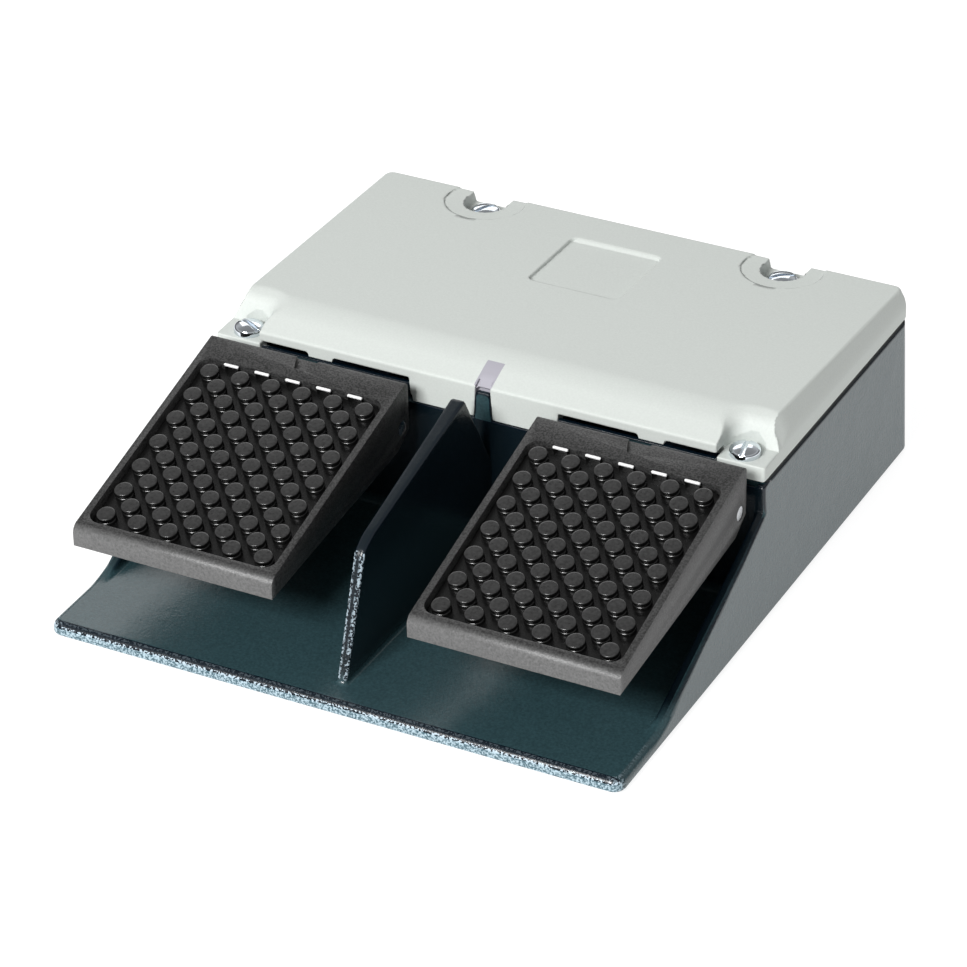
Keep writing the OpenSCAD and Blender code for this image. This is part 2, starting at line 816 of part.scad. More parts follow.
module pedal() {
    half_w = pedal_w / 2;
    mat_mid = rim_front + mat_l / 2;
    difference() {
        union() {
            difference() {
                side_plate(0, pedal_w) pedal_outline();
                side_plate(0, pedal_w - 2 * skirt_t) pedal_cavity();
            }
            for (side = [-1, 1])
                rod_x(side * (half_w - 4.6) - 4.1, side * (half_w - 4.6) + 4.1, pin_y, pin_z, pin_r + 3.2);
            intersection() {
                union() {
                    pedal_web();
                    translate([0, spring_y, spring_top_z]) cylinder(h = 20, r = spring_d / 2 + 1.5);
                    translate([0, spring_y, spring_top_z - spigot_h]) cylinder(h = 20, r = spigot_r);
                }
                side_plate(0, pedal_w)
                    polygon([
                        [0, 0], [base_d, 0],
                        [base_d, pedal_under(base_d) + 1], [0, pedal_under(0) + 1]
                    ]);
            }
        }
        on_pedal_top()
            translate([0, mat_mid, -recess_depth])
                linear_extrude(height = recess_depth + 5)
                    rounded_rect(mat_w + 2 * fit_gap, mat_l + 2 * fit_gap, mat_corner_r);
        pedal_notch();
        rod_x(-half_w - 1, half_w + 1, pin_y, pin_z, pin_r + press_gap);
    }
}

module pedal_left() {
    color("#3a3a3a") placed() translate([-pedal_x, 0, 0]) pedal();
}

module pedal_right() {
    color("#3a3a3a") placed() translate([pedal_x, 0, 0]) pedal();
}

module stud() {
    groove = 0.35;
    cylinder(h = stud_h, r = stud_d / 2 - groove, $fn = 24);
    translate([0, 0, stud_h * 0.6]) cylinder(h = stud_h * 0.4, r = stud_d / 2, $fn = 24);
    cylinder(h = stud_h * 0.35, r = stud_d / 2, $fn = 24);
}

// Long rows alternate with short rows that lie half a pitch across.
module stud_mat() {
    on_pedal_top()
        translate([0, rim_front + mat_front, -recess_depth]) {
            translate([0, mat_l / 2 - mat_front, 0])
                linear_extrude(height = mat_t) rounded_rect(mat_w, mat_l, mat_corner_r);
            for (row = [0 : stud_rows - 1]) {
                count = studs_across - row % 2;
                for (i = [0 : count - 1])
                    translate([(i - (count - 1) / 2) * stud_pitch, row * stud_row_pitch, mat_t - eps])
                        stud();
            }
        }
}

module stud_mat_left() {
    color("#262626") placed() translate([-pedal_x, 0, 0]) stud_mat();
}

module stud_mat_right() {
    color("#262626") placed() translate([pedal_x, 0, 0]) stud_mat();
}

// Hinges

module hinge_pin(x) {
    color("#d5d8da") placed() rod_x(x - pedal_w / 2 + 0.3, x + pedal_w / 2 - 0.3, pin_y, pin_z, pin_r);
}

module hinge_pin_left() {
    hinge_pin(-pedal_x);
}

module hinge_pin_right() {
    hinge_pin(pedal_x);
}

module hinge_bushes() {
    color("#e8e4d8")
        placed()
            for (side = [-1, 1], end = [-1, 1]) {
                inner = side * pedal_x + end * (lug_x - lug_t / 2);
                outer = side * pedal_x + end * (lug_x + lug_t / 2);
                flange_x = outer + end * bush_flange_t;
                difference() {
                    union() {
                        rod_x(min(inner, outer), max(inner, outer), pin_y, pin_z, bush_r - press_gap);
                        rod_x(min(outer, flange_x), max(outer, flange_x), pin_y, pin_z, bush_flange_r);
                    }
                    rod_x(min(inner, flange_x) - 1, max(inner, flange_x) + 1, pin_y, pin_z, pin_r + pin_gap);
                }
            }
}

// Return springs: one unbroken wire, drawn as a tube along a helix with closed end turns.

spring_steps = spring_turns * spring_rings;
spring_close = spring_wire_d * 1.05;
spring_free = spring_top_z - spring_foot_z - spring_wire_d - 2 * spring_close - spring_seat_gap;
spring_lead = spring_free / (spring_turns - 2);

function spring_height(turn) =
    let (low = min(turn, 1) * spring_close)
    let (mid = max(0, min(turn, spring_turns - 1) - 1) * spring_lead)
    let (high = max(0, turn - spring_turns + 1) * spring_close)
    spring_foot_z + spring_wire_d / 2 + low + mid + high;

function spring_point(turn) =
    [spring_r * cos(360 * turn), spring_r * sin(360 * turn), spring_height(turn)];

function spring_ring(turn) =
    let (c = spring_point(turn))
    let (out = [cos(360 * turn), sin(360 * turn), 0])
    [for (k = [0 : spring_sides - 1])
        let (a = 360 * k / spring_sides)
        c + spring_wire_d / 2 * (cos(a) * out + sin(a) * [0, 0, 1])];

spring_gap = (spring_lead < spring_close ? spring_lead : spring_close) - spring_wire_d;
echo(open_turn_gap_of_return_spring = spring_lead - spring_wire_d, closed_turn_gap = spring_gap);

module return_spring(x) {
    rings = [for (s = [0 : spring_steps]) each spring_ring(s / spring_rings)];
    last = spring_steps * spring_sides;
    start_cap = [for (k = [0 : spring_sides - 1]) k];
    end_cap = [for (k = [spring_sides - 1 : -1 : 0]) last + k];
    sides = [
        for (s = [0 : spring_steps - 1], k = [0 : spring_sides - 1])
            let (a = s * spring_sides + k)
            let (b = s * spring_sides + (k + 1) % spring_sides)
            each [[a, a + spring_sides, b], [b, a + spring_sides, b + spring_sides]]
    ];
    color("#b9bdc0")
        placed()
            translate([x, spring_y, 0])
                polyhedron(points = rings, faces = concat([start_cap, end_cap], sides));
}

module return_spring_left() {
    return_spring(-pedal_x);
}

module return_spring_right() {
    return_spring(pedal_x);
}

// Plungers and switches

module plunger(x) {
    tip_l = 1.5;
    color("#c2c6c9")
        placed() {
            translate([x, plunger_tip_y + tip_l, plunger_z])
                rotate([90, 0, 0]) cylinder(h = tip_l, r1 = plunger_d / 2, r2 = plunger_d / 2 - 1);
            rod_y(x, plunger_tip_y + tip_l, plunger_head_y, plunger_z, plunger_d / 2);
            rod_y(x, plunger_head_y, plunger_head_y + plunger_head_t, plunger_z, plunger_head_r);
        }
}

module plunger_left() {
    plunger(-pedal_x);
}

module plunger_right() {
    plunger(pedal_x);
}

module plunger_guides() {
    color("#b08d57")
        placed()
            for (side = [-1, 1])
                difference() {
                    rod_y(side * pedal_x, guide_y, guide_end_y, plunger_z, guide_r - press_gap);
                    rod_y(side * pedal_x, bay_y, guide_end_y + 1, plunger_z, plunger_d / 2 + pin_gap);
                }
}

module plunger_seals() {
    color("#1a1a1a")
        placed()
            for (side = [-1, 1])
                difference() {
                    rod_y(side * pedal_x, guide_y - seal_t, guide_y, plunger_z, seal_r - press_gap);
                    rod_y(side * pedal_x, bay_y - 1, guide_y + 1, plunger_z, plunger_d / 2 + fit_gap);
                }
}

module stop_bumpers() {
    color("#1a1a1a")
        placed()
            for (side = [-1, 1]) {
                rod_y(side * pedal_x, bay_y - bumper_proud, bay_y, bumper_z, bumper_r);
                rod_y(side * pedal_x, bay_y - eps, bay_in - 1.5, bumper_z, bumper_stem_r - press_gap);
            }
}

module switch_body(x) {
    ear_w = 2 * (switch_screw_x + switch_post_r);
    color("#26303a")
        placed()
            difference() {
                union() {
                    translate([x - switch_w / 2, switch_y, switch_foot_z])
                        cube([switch_w, switch_l, switch_h]);
                    translate([x - ear_w / 2, switch_y, switch_foot_z])
                        cube([ear_w, switch_l, switch_flange_t]);
                    rod_y(x, switch_y - 2, switch_y + eps, plunger_z, actuator_r + 2.5);
                }
                rod_y(x, switch_y - 3, switch_y + actuator_in + plunger_travel + 1, plunger_z,
                    actuator_r + pin_gap);
                for (side = [-1, 1], row = terminal_rows)
                    translate([x + side * terminal_x, switch_y + row * switch_l,
                        switch_foot_z + switch_h - 5])
                        cylinder(h = 6, r = terminal_r);
                for (side = [-1, 1], y = [switch_screw_in, switch_l - switch_screw_in])
                    translate([x + side * switch_screw_x, switch_y + y, switch_foot_z - 1])
                        cylinder(h = switch_flange_t + 2, r = switch_screw_d / 2 + fit_gap);
            }
}

module switch_body_left() {
    switch_body(-pedal_x);
}

module switch_body_right() {
    switch_body(pedal_x);
}

module switch_actuator(x) {
    color("#b3262a")
        placed() rod_y(x, actuator_y, switch_y + actuator_in, plunger_z, actuator_r);
}

module switch_actuator_left() {
    switch_actuator(-pedal_x);
}

module switch_actuator_right() {
    switch_actuator(pedal_x);
}

// Small screw with a slotted cheese head, seated at z = 0
module small_screw(thread_r, head_r, head_h, shank_l) {
    difference() {
        union() {
            translate([0, 0, -shank_l]) cylinder(h = shank_l, r = thread_r);
            cylinder(h = head_h, r = head_r);
        }
        translate([0, 0, head_h]) cube([3 * head_r, 0.9, head_h], center = true);
    }
}

module switch_screws() {
    color("#c8cccf")
        placed()
            for (side = [-1, 1], x = [-1, 1], y = [switch_screw_in, switch_l - switch_screw_in])
                translate([side * pedal_x + x * switch_screw_x, switch_y + y,
                    switch_foot_z + switch_flange_t])
                    small_screw(switch_screw_d / 2 - press_gap, 3.5, 2.6, switch_flange_t + switch_screw_grip);
}

module terminal_screws() {
    color("#c8b060")
        placed()
            for (side = [-1, 1], x = [-1, 1], row = terminal_rows)
                translate([side * pedal_x + x * terminal_x, switch_y + row * switch_l,
                    switch_foot_z + switch_h - 5])
                    small_screw(terminal_r - press_gap, terminal_r - press_gap, 2.4, 0);
}

module earth_clamp() {
    color("#c8b060")
        placed()
            translate([earth_x, earth_y, floor_t + earth_boss_h])
                difference() {
                    translate([-5, -5, 0]) cube([10, 10, 1.2]);
                    translate([0, 0, -1]) cylinder(h = 4, r = 2.7);
                }
}

module earth_screw() {
    color("#c8cccf")
        placed()
            translate([earth_x, earth_y, floor_t + earth_boss_h + 1.2])
                small_screw(2.5 - press_gap, 4.5, 3, earth_boss_h);
}

// Cable gland

module gland_body() {
    color("#8d9296")
        placed()
            difference() {
                union() {
                    rod_y(0, rear_in - gland_nut_t - 2, base_d, gland_z, gland_r - press_gap);
                    rod_y(0, base_d, base_d + gland_hex_t, gland_z, gland_hex_r, 6);
                    rod_y(0, base_d + gland_hex_t - eps, base_d + gland_hex_t + gland_barrel_l, gland_z,
                        gland_barrel_r);
                }
                rod_y(0, rear_in - gland_nut_t - 3, base_d + gland_hex_t + gland_barrel_l + 1, gland_z,
                    gland_bore_r);
                rod_y(0, gland_seal_y(), base_d + gland_hex_t + gland_barrel_l + 1, gland_z,
                    gland_barrel_r - 1.5);
            }
}

function gland_seal_y() = base_d + gland_hex_t + gland_barrel_l - gland_seal_l + 1;

module gland_locknut() {
    color("#8d9296")
        placed()
            difference() {
                rod_y(0, rear_in - gland_nut_t, rear_in, gland_z, gland_hex_r, 6);
                rod_y(0, rear_in - gland_nut_t - 1, rear_in + 1, gland_z, gland_r);
            }
}

module gland_seal() {
    color("#181818")
        placed()
            difference() {
                rod_y(0, gland_seal_y(), gland_seal_y() + gland_seal_l, gland_z,
                    gland_barrel_r - 1.5 - press_gap);
                rod_y(0, gland_seal_y() - 1, gland_seal_y() + gland_seal_l + 1, gland_z, cable_d / 2);
            }
}

module gland_cap() {
    cap_y = base_d + gland_hex_t + gland_cap_gap;
    cap_end = cap_y + gland_cap_l;
    color("#8d9296")
        placed()
            difference() {
                union() {
                    rod_y(0, cap_y, cap_end, gland_z, gland_cap_r, 6);
                    translate([0, cap_end + gland_dome_l, gland_z])
                        rotate([90, 0, 0])
                            cylinder(h = gland_dome_l, r1 = gland_bore_r + 1.8, r2 = gland_cap_r - 2);
                }
                rod_y(0, cap_y - 1, gland_seal_y() + gland_seal_l + touch_gap, gland_z,
                    gland_barrel_r + press_gap);
                rod_y(0, cap_y, cap_end + gland_dome_l + 1, gland_z, gland_bore_r);
            }
}

base_housing();
cover();
cover_gasket();
front_cover_screws();
rear_cover_screws();
rubber_feet();
pedal_left();
pedal_right();
stud_mat_left();
stud_mat_right();
hinge_pin_left();
hinge_pin_right();
hinge_bushes();
return_spring_left();
return_spring_right();
plunger_left();
plunger_right();
plunger_guides();
plunger_seals();
stop_bumpers();
switch_body_left();
switch_body_right();
switch_actuator_left();
switch_actuator_right();
switch_screws();
terminal_screws();
earth_screw();
earth_clamp();
gland_body();
gland_locknut();
gland_seal();
gland_cap();
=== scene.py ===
"""Double foot switch: surfaces, finishes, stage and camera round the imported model."""
import itertools
import json
import math

import bmesh
import bpy
import numpy as np
from mathutils import Matrix, Vector


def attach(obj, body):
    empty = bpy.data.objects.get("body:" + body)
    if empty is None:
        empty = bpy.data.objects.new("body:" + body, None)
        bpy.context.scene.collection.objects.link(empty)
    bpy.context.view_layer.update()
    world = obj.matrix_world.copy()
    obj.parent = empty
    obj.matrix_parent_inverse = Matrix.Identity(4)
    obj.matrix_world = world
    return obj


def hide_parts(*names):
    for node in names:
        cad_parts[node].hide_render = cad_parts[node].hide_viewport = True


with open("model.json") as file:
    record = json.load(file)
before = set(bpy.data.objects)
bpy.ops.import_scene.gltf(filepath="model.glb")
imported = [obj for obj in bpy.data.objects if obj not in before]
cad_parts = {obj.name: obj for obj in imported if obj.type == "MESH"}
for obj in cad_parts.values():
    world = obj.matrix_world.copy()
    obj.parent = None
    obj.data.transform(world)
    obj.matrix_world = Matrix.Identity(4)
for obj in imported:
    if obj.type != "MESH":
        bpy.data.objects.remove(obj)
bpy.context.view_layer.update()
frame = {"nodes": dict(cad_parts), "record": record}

bl_info = {
    "name": "Double Foot Switch",
    "version": (1, 0, 0),
    "blender": (4, 5, 0),
    "location": "3D View > Sidebar > Foot Switch",
    "description": "Builds the visible surfaces of a double foot switch and its studio",
    "category": "Add Mesh",
}

MM = 0.001
SIDES = (("left", -1), ("right", 1))

# Inputs and output of a Mix node that mixes colours, by number because their names repeat.
MIX_SHARE, MIX_BELOW, MIX_ABOVE, MIX_COLOUR = 0, 6, 7, 2

# Places in the model's own millimetres where a finish changes, and where painted shade and painted
# highlights lie.
LIP_START = -133.4
LIP_END = -131.0
PLATE_AHEAD = -150.0
PLATE_RIM_Y = -143.4
PLATE_FACE_LOW = 1.0
PLATE_RIM_LOW = 4.6
PLATE_RIM_HIGH = 5.45
PLATE_RIM_TOP = 9.0
RIB_FRONT_END = -117.0
# Bounds of the painted shade on the tray's upright faces.
TRAY_HALF = 117.6
TRAY_REAR = -18.22
TRAY_LOW = 7.4
TRAY_HIGH = 12.0
TRAY_DARKEST = 0.92
# Bounds of the painted shade in the cover's scoop above the tab.
SCOOP_SHADE_HALF = 3.7
SCOOP_SHADE_FRONT = -18.0
SCOOP_SHADE_BACK = -6.0

# The base's own coordinates are millimetres from the middle of its front edge, on its underside.
# All that follows, down to the pedals' slope, is in them.
BASE_PLACE = (0, -146.25, 1.2)
BASE_HALF = 120.0
BASE_DEPTH = 270.0
BASE_CORNERS = (5, 8)
BAY = 128.0
FLOOR = 5.5
WALL = 5.5
WALL_TOP = 57.7
WALL_INSIDE = 114.5
WALL_DRAFT = 2
SILL = 56.4
COVER_FOOT = 59.1
COVER_HALF = 117.7
COVER_REAR = 269.7
COVER_CORNERS = (1.2, 6)
COVER_SHELL = 3.0
COVER_FRONT = 5.6
APRON = 2.3
CROWN_BACK = 71.7
CREASE = 143.2
CROWN_TILT = math.radians(2.35)
BEVEL_TILT = math.radians(22.2)
SIDE_LEAN = math.radians(24.5)
SEAT = 65.5
SCREWS = {"front": (106.7, 134.9), "rear": (66.5, 260.0)}
SCREW_HEAD = 6.0
SCREW_RISE = 3.9
SCREW_HOLE = 3.3
SLOT_TURNS = {"front": (-24.7, 100.8), "rear": (57.6, 36.0)}
PEDAL_MIDDLE = 71.05
PIN = (115.0, 52.2)
PLUNGER_HEIGHT = 32.2
PEDAL_NOSE = (12.3, 42.5)
PEDAL_TILT = math.radians(14.6)


def hex_colour(code):
    """Turns an sRGB hex colour into linear red, green and blue."""
    parts = np.array([int(code[i:i + 2], 16) for i in (1, 3, 5)]) / 255
    linear = np.where(parts <= 0.04045, parts / 12.92, ((parts + 0.055) / 1.055) ** 2.4)
    return tuple(float(part) for part in linear)


def colour_property(name, description, code):
    """A colour that a user may change."""
    return bpy.props.FloatVectorProperty(
        name=name, description=description, subtype="COLOR", size=3, min=0, max=1,
        default=hex_colour(code))


def length_property(name, description, millimetres):
    """A length that a user may change, kept in metres."""
    return bpy.props.FloatProperty(
        name=name, description=description, subtype="DISTANCE", unit="LENGTH", min=0, precision=5,
        default=millimetres * MM)


class FootSwitchSizes(bpy.types.PropertyGroup):
    """Sizes of the visible surfaces."""
    pedal_edge: length_property("Pedal edge", "Rounding of the pedals' edges", 0.8)


class FootSwitchColours(bpy.types.PropertyGroup):
    """Colours of the finishes."""
    powder: colour_property("Powder coat", "Dark teal coat of the base", "#2C4348")
    cover: colour_property("Cover", "Light grey coat of the cover", "#CACFCB")
    pedal: colour_property("Pedal", "Black moulded plastic", "#2E2E2E")
    stud: colour_property("Stud rubber", "Black rubber of the stud mats", "#0B0B0B")
    # The studs' tops are grey partly from wear and partly painted lighter than the shaded sheet between
    # them.
    lit_worn_rubber: colour_property("Worn rubber", "Grey of the studs' worn tops", "#3E3E3E")
    floor: colour_property("Floor", "Pale studio floor", "#959595")


def chosen_colour(name):
    """One of the colours that a user may change."""
    return tuple(getattr(bpy.context.scene.foot_switch_colours, name))


def add_node(tree, kind, fields=None, values=None, links=None):
    """Adds a node, sets its fields and input values, and links its inputs from other nodes' outputs."""
    node = tree.nodes.new(kind)
    for name, value in (fields or {}).items():
        setattr(node, name, value)
    for name, value in (values or {}).items():
        node.inputs[name].default_value = value
    for name, (source, output) in (links or {}).items():
        tree.links.new(source.outputs[output], node.inputs[name])
    return node


def start_finish(name, colour, roughness, **settings):
    """A material with a Principled shader whose constants are set on its sockets."""
    material = bpy.data.materials.new(name)
    material.use_nodes = True
    material.diffuse_color = (*colour, 1)
    tree = material.node_tree
    shader = tree.nodes["Principled BSDF"]
    shader.inputs["Base Color"].default_value = (*colour, 1)
    shader.inputs["Roughness"].default_value = roughness
    for socket, value in settings.items():
        shader.inputs[socket.replace("_", " ")].default_value = value
    coords = add_node(tree, "ShaderNodeTexCoord")
    return material, tree, shader, coords


def grain(tree, coords, size_mm, detail=2, rough=0.5):
    """Noise whose lumps are about size_mm across."""
    return add_node(
        tree, "ShaderNodeTexNoise", {"noise_dimensions": "3D"},
        {"Scale": 1 / (size_mm * MM), "Detail": detail, "Roughness": rough},
        {"Vector": (coords, "Object")})


def shade_by(tree, shader, noise, colour, low, high, span=0.2):
    """The base colour, darker in the noise's valleys and lighter on its hills."""
    ramp = add_node(tree, "ShaderNodeValToRGB", links={"Fac": (noise, "Fac")})
    ramp.color_ramp.elements[0].position = 0.5 - span
    ramp.color_ramp.elements[1].position = 0.5 + span
    for element, factor in zip(ramp.color_ramp.elements, (low, high)):
        element.color = (*(min(1, part * factor) for part in colour), 1)
    tree.links.new(ramp.outputs["Color"], shader.inputs["Base Color"])
    return ramp


def bump_by(tree, shader, noise, height_mm, strength=1.0, below=None):
    """Raises the surface by the noise, height_mm from valley to hill."""
    links = {"Height": (noise, "Fac")}
    if below is not None:
        links["Normal"] = (below, "Normal")
    bump = add_node(
        tree, "ShaderNodeBump", values={"Strength": strength, "Distance": height_mm * MM}, links=links)
    tree.links.new(bump.outputs["Normal"], shader.inputs["Normal"])
    return bump


def roughness_by(tree, shader, noise, low, high):
    """Roughness that wanders with the noise between low and high."""
    span, result = fade(tree, (noise, "Fac"), 0.3, 0.7, low, high)
    tree.links.new(span.outputs[result], shader.inputs["Roughness"])


def math_of(tree, operation, first, second, clamp=False):
    """What a Math node gives for two inputs, each another node's output or a plain number."""
    node = add_node(tree, "ShaderNodeMath", {"operation": operation, "use_clamp": clamp})
    for socket, value in zip(node.inputs, (first, second)):
        if isinstance(value, tuple):
            tree.links.new(value[0].outputs[value[1]], socket)
        else:
            socket.default_value = value
    return node, "Value"


def fade(tree, value, start, end, from_share, to_share):
    """A share that goes from one value to another as the input goes from start to end."""
    node = add_node(
        tree, "ShaderNodeMapRange",
        values={"From Min": start, "From Max": end, "To Min": from_share, "To Max": to_share},
        links={"Value": value})
    return node, "Result"


def paint(tree, shader, colour):
    """Links a colour output to the shader's base colour."""
    node, output = colour
    tree.links.new(node.outputs[output], shader.inputs["Base Color"])


def mix_colours(tree, share, below, above):
    """The colour below, covered by the one above (an output or a hex colour) as the share says."""
    links = {MIX_SHARE: share, MIX_BELOW: below}
    values = {}
    if isinstance(above, tuple):
        links[MIX_ABOVE] = above
    else:
        values[MIX_ABOVE] = (*hex_colour(above), 1)
    return add_node(tree, "ShaderNodeMix", {"data_type": "RGBA"}, values, links), MIX_COLOUR


def places_of(tree, coords):
    """The surface's places as separate X, Y and Z outputs."""
    return add_node(tree, "ShaderNodeSeparateXYZ", links={"Vector": (coords, "Object")})


def tray_painted_shade_share(tree, split):
    """Share of painted shade: 1 on the tray's upright faces, which stand in deep shade, fading to 0 at
    the plate.
    """
    across = math_of(tree, "ABSOLUTE", (split, "X"), 0.0)
    within = math_of(tree, "LESS_THAN", across, TRAY_HALF * MM)
    ahead = math_of(tree, "LESS_THAN", (split, "Y"), TRAY_REAR * MM)
    up = fade(tree, (split, "Z"), TRAY_LOW * MM, TRAY_HIGH * MM, 0.0, TRAY_DARKEST)
    return math_of(tree, "MULTIPLY", math_of(tree, "MULTIPLY", within, ahead), up)


def band(tree, split, axis, low, high):
    """1 where the coordinate lies between two places in millimetres, and 0 elsewhere."""
    above = math_of(tree, "GREATER_THAN", (split, axis), low * MM)
    below = math_of(tree, "LESS_THAN", (split, axis), high * MM)
    return math_of(tree, "MULTIPLY", above, below)


def powder_coat():
    """Polyester powder coat on die-cast metal: dark teal and glossy, with the orange peel that baked
    powder leaves. Painted shade darkens the tray's upright faces, a painted dark reflection runs
    along its edges and the plate's rim, and painted highlights speckle the rim, the front edges
    and the plate's front face."""
    colour = chosen_colour("powder")
    material, tree, shader, coords = start_finish("dark_teal_powder_coat", colour, 0.22, IOR=1.5)
    ramp = shade_by(tree, shader, grain(tree, coords, 0.9), colour, 0.8, 1.2)
    split = places_of(tree, coords)
    # Painted shade: the tray's upright faces are darkened towards near black.
    coat = mix_colours(tree, tray_painted_shade_share(tree, split), (ramp, "Color"), "#040C14")
    geometry = add_node(tree, "ShaderNodeNewGeometry")
    sharp = fade(tree, (geometry, "Pointiness"), 0.51, 0.535, 0.0, 1.0)
    lip = band(tree, split, "Y", PLATE_AHEAD, PLATE_RIM_Y)
    rim = math_of(tree, "MULTIPLY", lip, band(tree, split, "Z", PLATE_RIM_LOW, PLATE_RIM_TOP))
    line = math_of(tree, "MULTIPLY", rim, band(tree, split, "Z", PLATE_RIM_LOW, PLATE_RIM_HIGH))
    front = math_of(tree, "MULTIPLY", sharp, band(tree, split, "Y", PLATE_AHEAD, RIB_FRONT_END))
    rim_and_edge_glints = math_of(tree, "MAXIMUM", line, front)
    # Painted reflection: a dark band on the sharp rounded edges and on the plate's front rim, standing
    # in for the dark surroundings that they mirror.
    coat = mix_colours(tree, math_of(tree, "MAXIMUM", sharp, rim), coat, "#06131D")
    spots = fade(tree, (grain(tree, coords, 0.9, detail=1), "Fac"), 0.5, 0.54, 0.0, 0.9)
    # Painted highlights: pale speckles on the rim's upper line and on the sharp front edges, standing
    # in for glints of the front light.
    coat = mix_colours(tree, math_of(tree, "MULTIPLY", rim_and_edge_glints, spots), coat, "#B9CBD6")
    # Painted highlight: the plate's front face is lightened with pale speckles where the front light
    # glints on the dark coat.
    face = math_of(tree, "MULTIPLY", lip, band(tree, split, "Z", PLATE_FACE_LOW, PLATE_RIM_LOW))
    front_face_glints = add_node(tree, "ShaderNodeValToRGB", links={"Fac": (grain(tree, coords, 0.8), "Fac")})
    for element, place, code in zip(front_face_glints.color_ramp.elements, (0.42, 0.6), ("#3C5964", "#A3B8C2")):
        element.position = place
        element.color = (*hex_colour(code), 1)
    paint(tree, shader, mix_colours(tree, face, coat, (front_face_glints, "Color")))
    roughness_by(tree, shader, grain(tree, coords, 1.2), 0.2, 0.27)
    swell = bump_by(tree, shader, grain(tree, coords, 14, detail=1), 0.12)
    peel = bump_by(tree, shader, grain(tree, coords, 1.2, detail=1), 0.05, below=swell)
    bump_by(tree, shader, grain(tree, coords, 0.5), 0.045, below=peel)
    return material


def cover_paint():
    """Light grey enamel on die-cast metal: satin, with faint specks of the powder, and a painted
    lilac shade in the narrow scoop above the tab, where shade falls."""
    colour = chosen_colour("cover")
    material, tree, shader, coords = start_finish("light_grey_cover_enamel", colour, 0.6, IOR=1.45)
    ramp = shade_by(tree, shader, grain(tree, coords, 0.8, detail=3), colour, 0.96, 1.02)
    split = places_of(tree, coords)
    # Painted shade: the scoop above the tab is tinted a darker lilac grey.
    slot = math_of(
        tree, "MULTIPLY", band(tree, split, "X", -SCOOP_SHADE_HALF, SCOOP_SHADE_HALF),
        band(tree, split, "Y", SCOOP_SHADE_FRONT, SCOOP_SHADE_BACK))
    paint(tree, shader, mix_colours(tree, slot, (ramp, "Color"), "#A5A3AC"))
    bump_by(tree, shader, grain(tree, coords, 0.9), 0.02)
    return material


def moulded_pedal():
    """Glass-filled nylon moulded in a spark-eroded tool: black with an even fine grain, and lighter in
    grainy patches along its front lip, partly rubbed by shoes and partly painted highlight of the front
    light."""
    colour = chosen_colour("pedal")
    material, tree, shader, coords = start_finish("black_moulded_nylon", colour, 0.42, IOR=1.5)
    fine = grain(tree, coords, 0.7, detail=3)
    ramp = shade_by(tree, shader, fine, colour, 0.35, 1.8, span=0.1)
    # The front lip is lightened in grainy patches: partly wear from shoes, partly painted highlight
    # where the front light falls.
    lip = fade(tree, (places_of(tree, coords), "Y"), LIP_START * MM, LIP_END * MM, 1.0, 0.0)
    scuff_and_glint_noise = grain(tree, coords, 1.1, detail=4, rough=0.7)
    lip_wear_and_highlight = math_of(tree, "MULTIPLY", lip, (scuff_and_glint_noise, "Fac"), clamp=True)
    paint(tree, shader, mix_colours(tree, lip_wear_and_highlight, (ramp, "Color"), "#747474"))
    bump_by(tree, shader, fine, 0.14)
    return material


def stud_rubber():
    """Moulded nitrile rubber: near black with a soft sheen, and greyer on the studs' tops, partly worn
    by shoes and partly painted light against the shaded sheet between them. The crests of the low
    tongues behind the last studs carry a painted highlight in near white."""
    colour = chosen_colour("stud")
    material, tree, shader, coords = start_finish("black_stud_rubber", colour, 0.26, IOR=1.5)
    ramp = shade_by(tree, shader, grain(tree, coords, 0.8), colour, 0.7, 1.3)
    # The studs' tops are greyed by the mark: partly wear from shoes, partly painted light on the lit
    # tops against the shaded sheet.
    worn = add_node(tree, "ShaderNodeAttribute", {"attribute_name": "worn_top"})
    top_grey_noise = grain(tree, coords, 1.3, detail=3)
    share = math_of(tree, "MULTIPLY", (worn, "Fac"), (top_grey_noise, "Fac"), clamp=True)
    grey = add_node(
        tree, "ShaderNodeMix", {"data_type": "RGBA"}, {MIX_ABOVE: (*chosen_colour("lit_worn_rubber"), 1)},
        {MIX_SHARE: share, MIX_BELOW: (ramp, "Color")})
    # Painted highlight: the tongues' crests are painted near white for glints of the front light.
    tongue = math_of(tree, "GREATER_THAN", (worn, "Fac"), GLINT_MARK - 1)
    paint(tree, shader, mix_colours(tree, tongue, (grey, MIX_COLOUR), "#E8E8E8"))
    bump_by(tree, shader, grain(tree, coords, 0.5), 0.03)
    return material


def plain_metal(name, code, roughness, lumps, span, bump=None):
    """A metal whose roughness wanders over span. Lumps, and bump's (lumps, height), are millimetres."""
    material, tree, shader, coords = start_finish(name, hex_colour(code), roughness, Metallic=1.0)
    roughness_by(tree, shader, grain(tree, coords, lumps), *span)
    if bump:
        bump_by(tree, shader, grain(tree, coords, bump[0]), bump[1])
    return material


def plain_moulding(name, code, roughness, refraction, lumps, span, bump=None):
    """A plastic or rubber whose colour wanders over span, as plain_metal's roughness does."""
    colour = hex_colour(code)
    material, tree, shader, coords = start_finish(name, colour, roughness, IOR=refraction)
    shade_by(tree, shader, grain(tree, coords, lumps), colour, *span)
    if bump:
        bump_by(tree, shader, grain(tree, coords, bump[0]), bump[1])
    return material


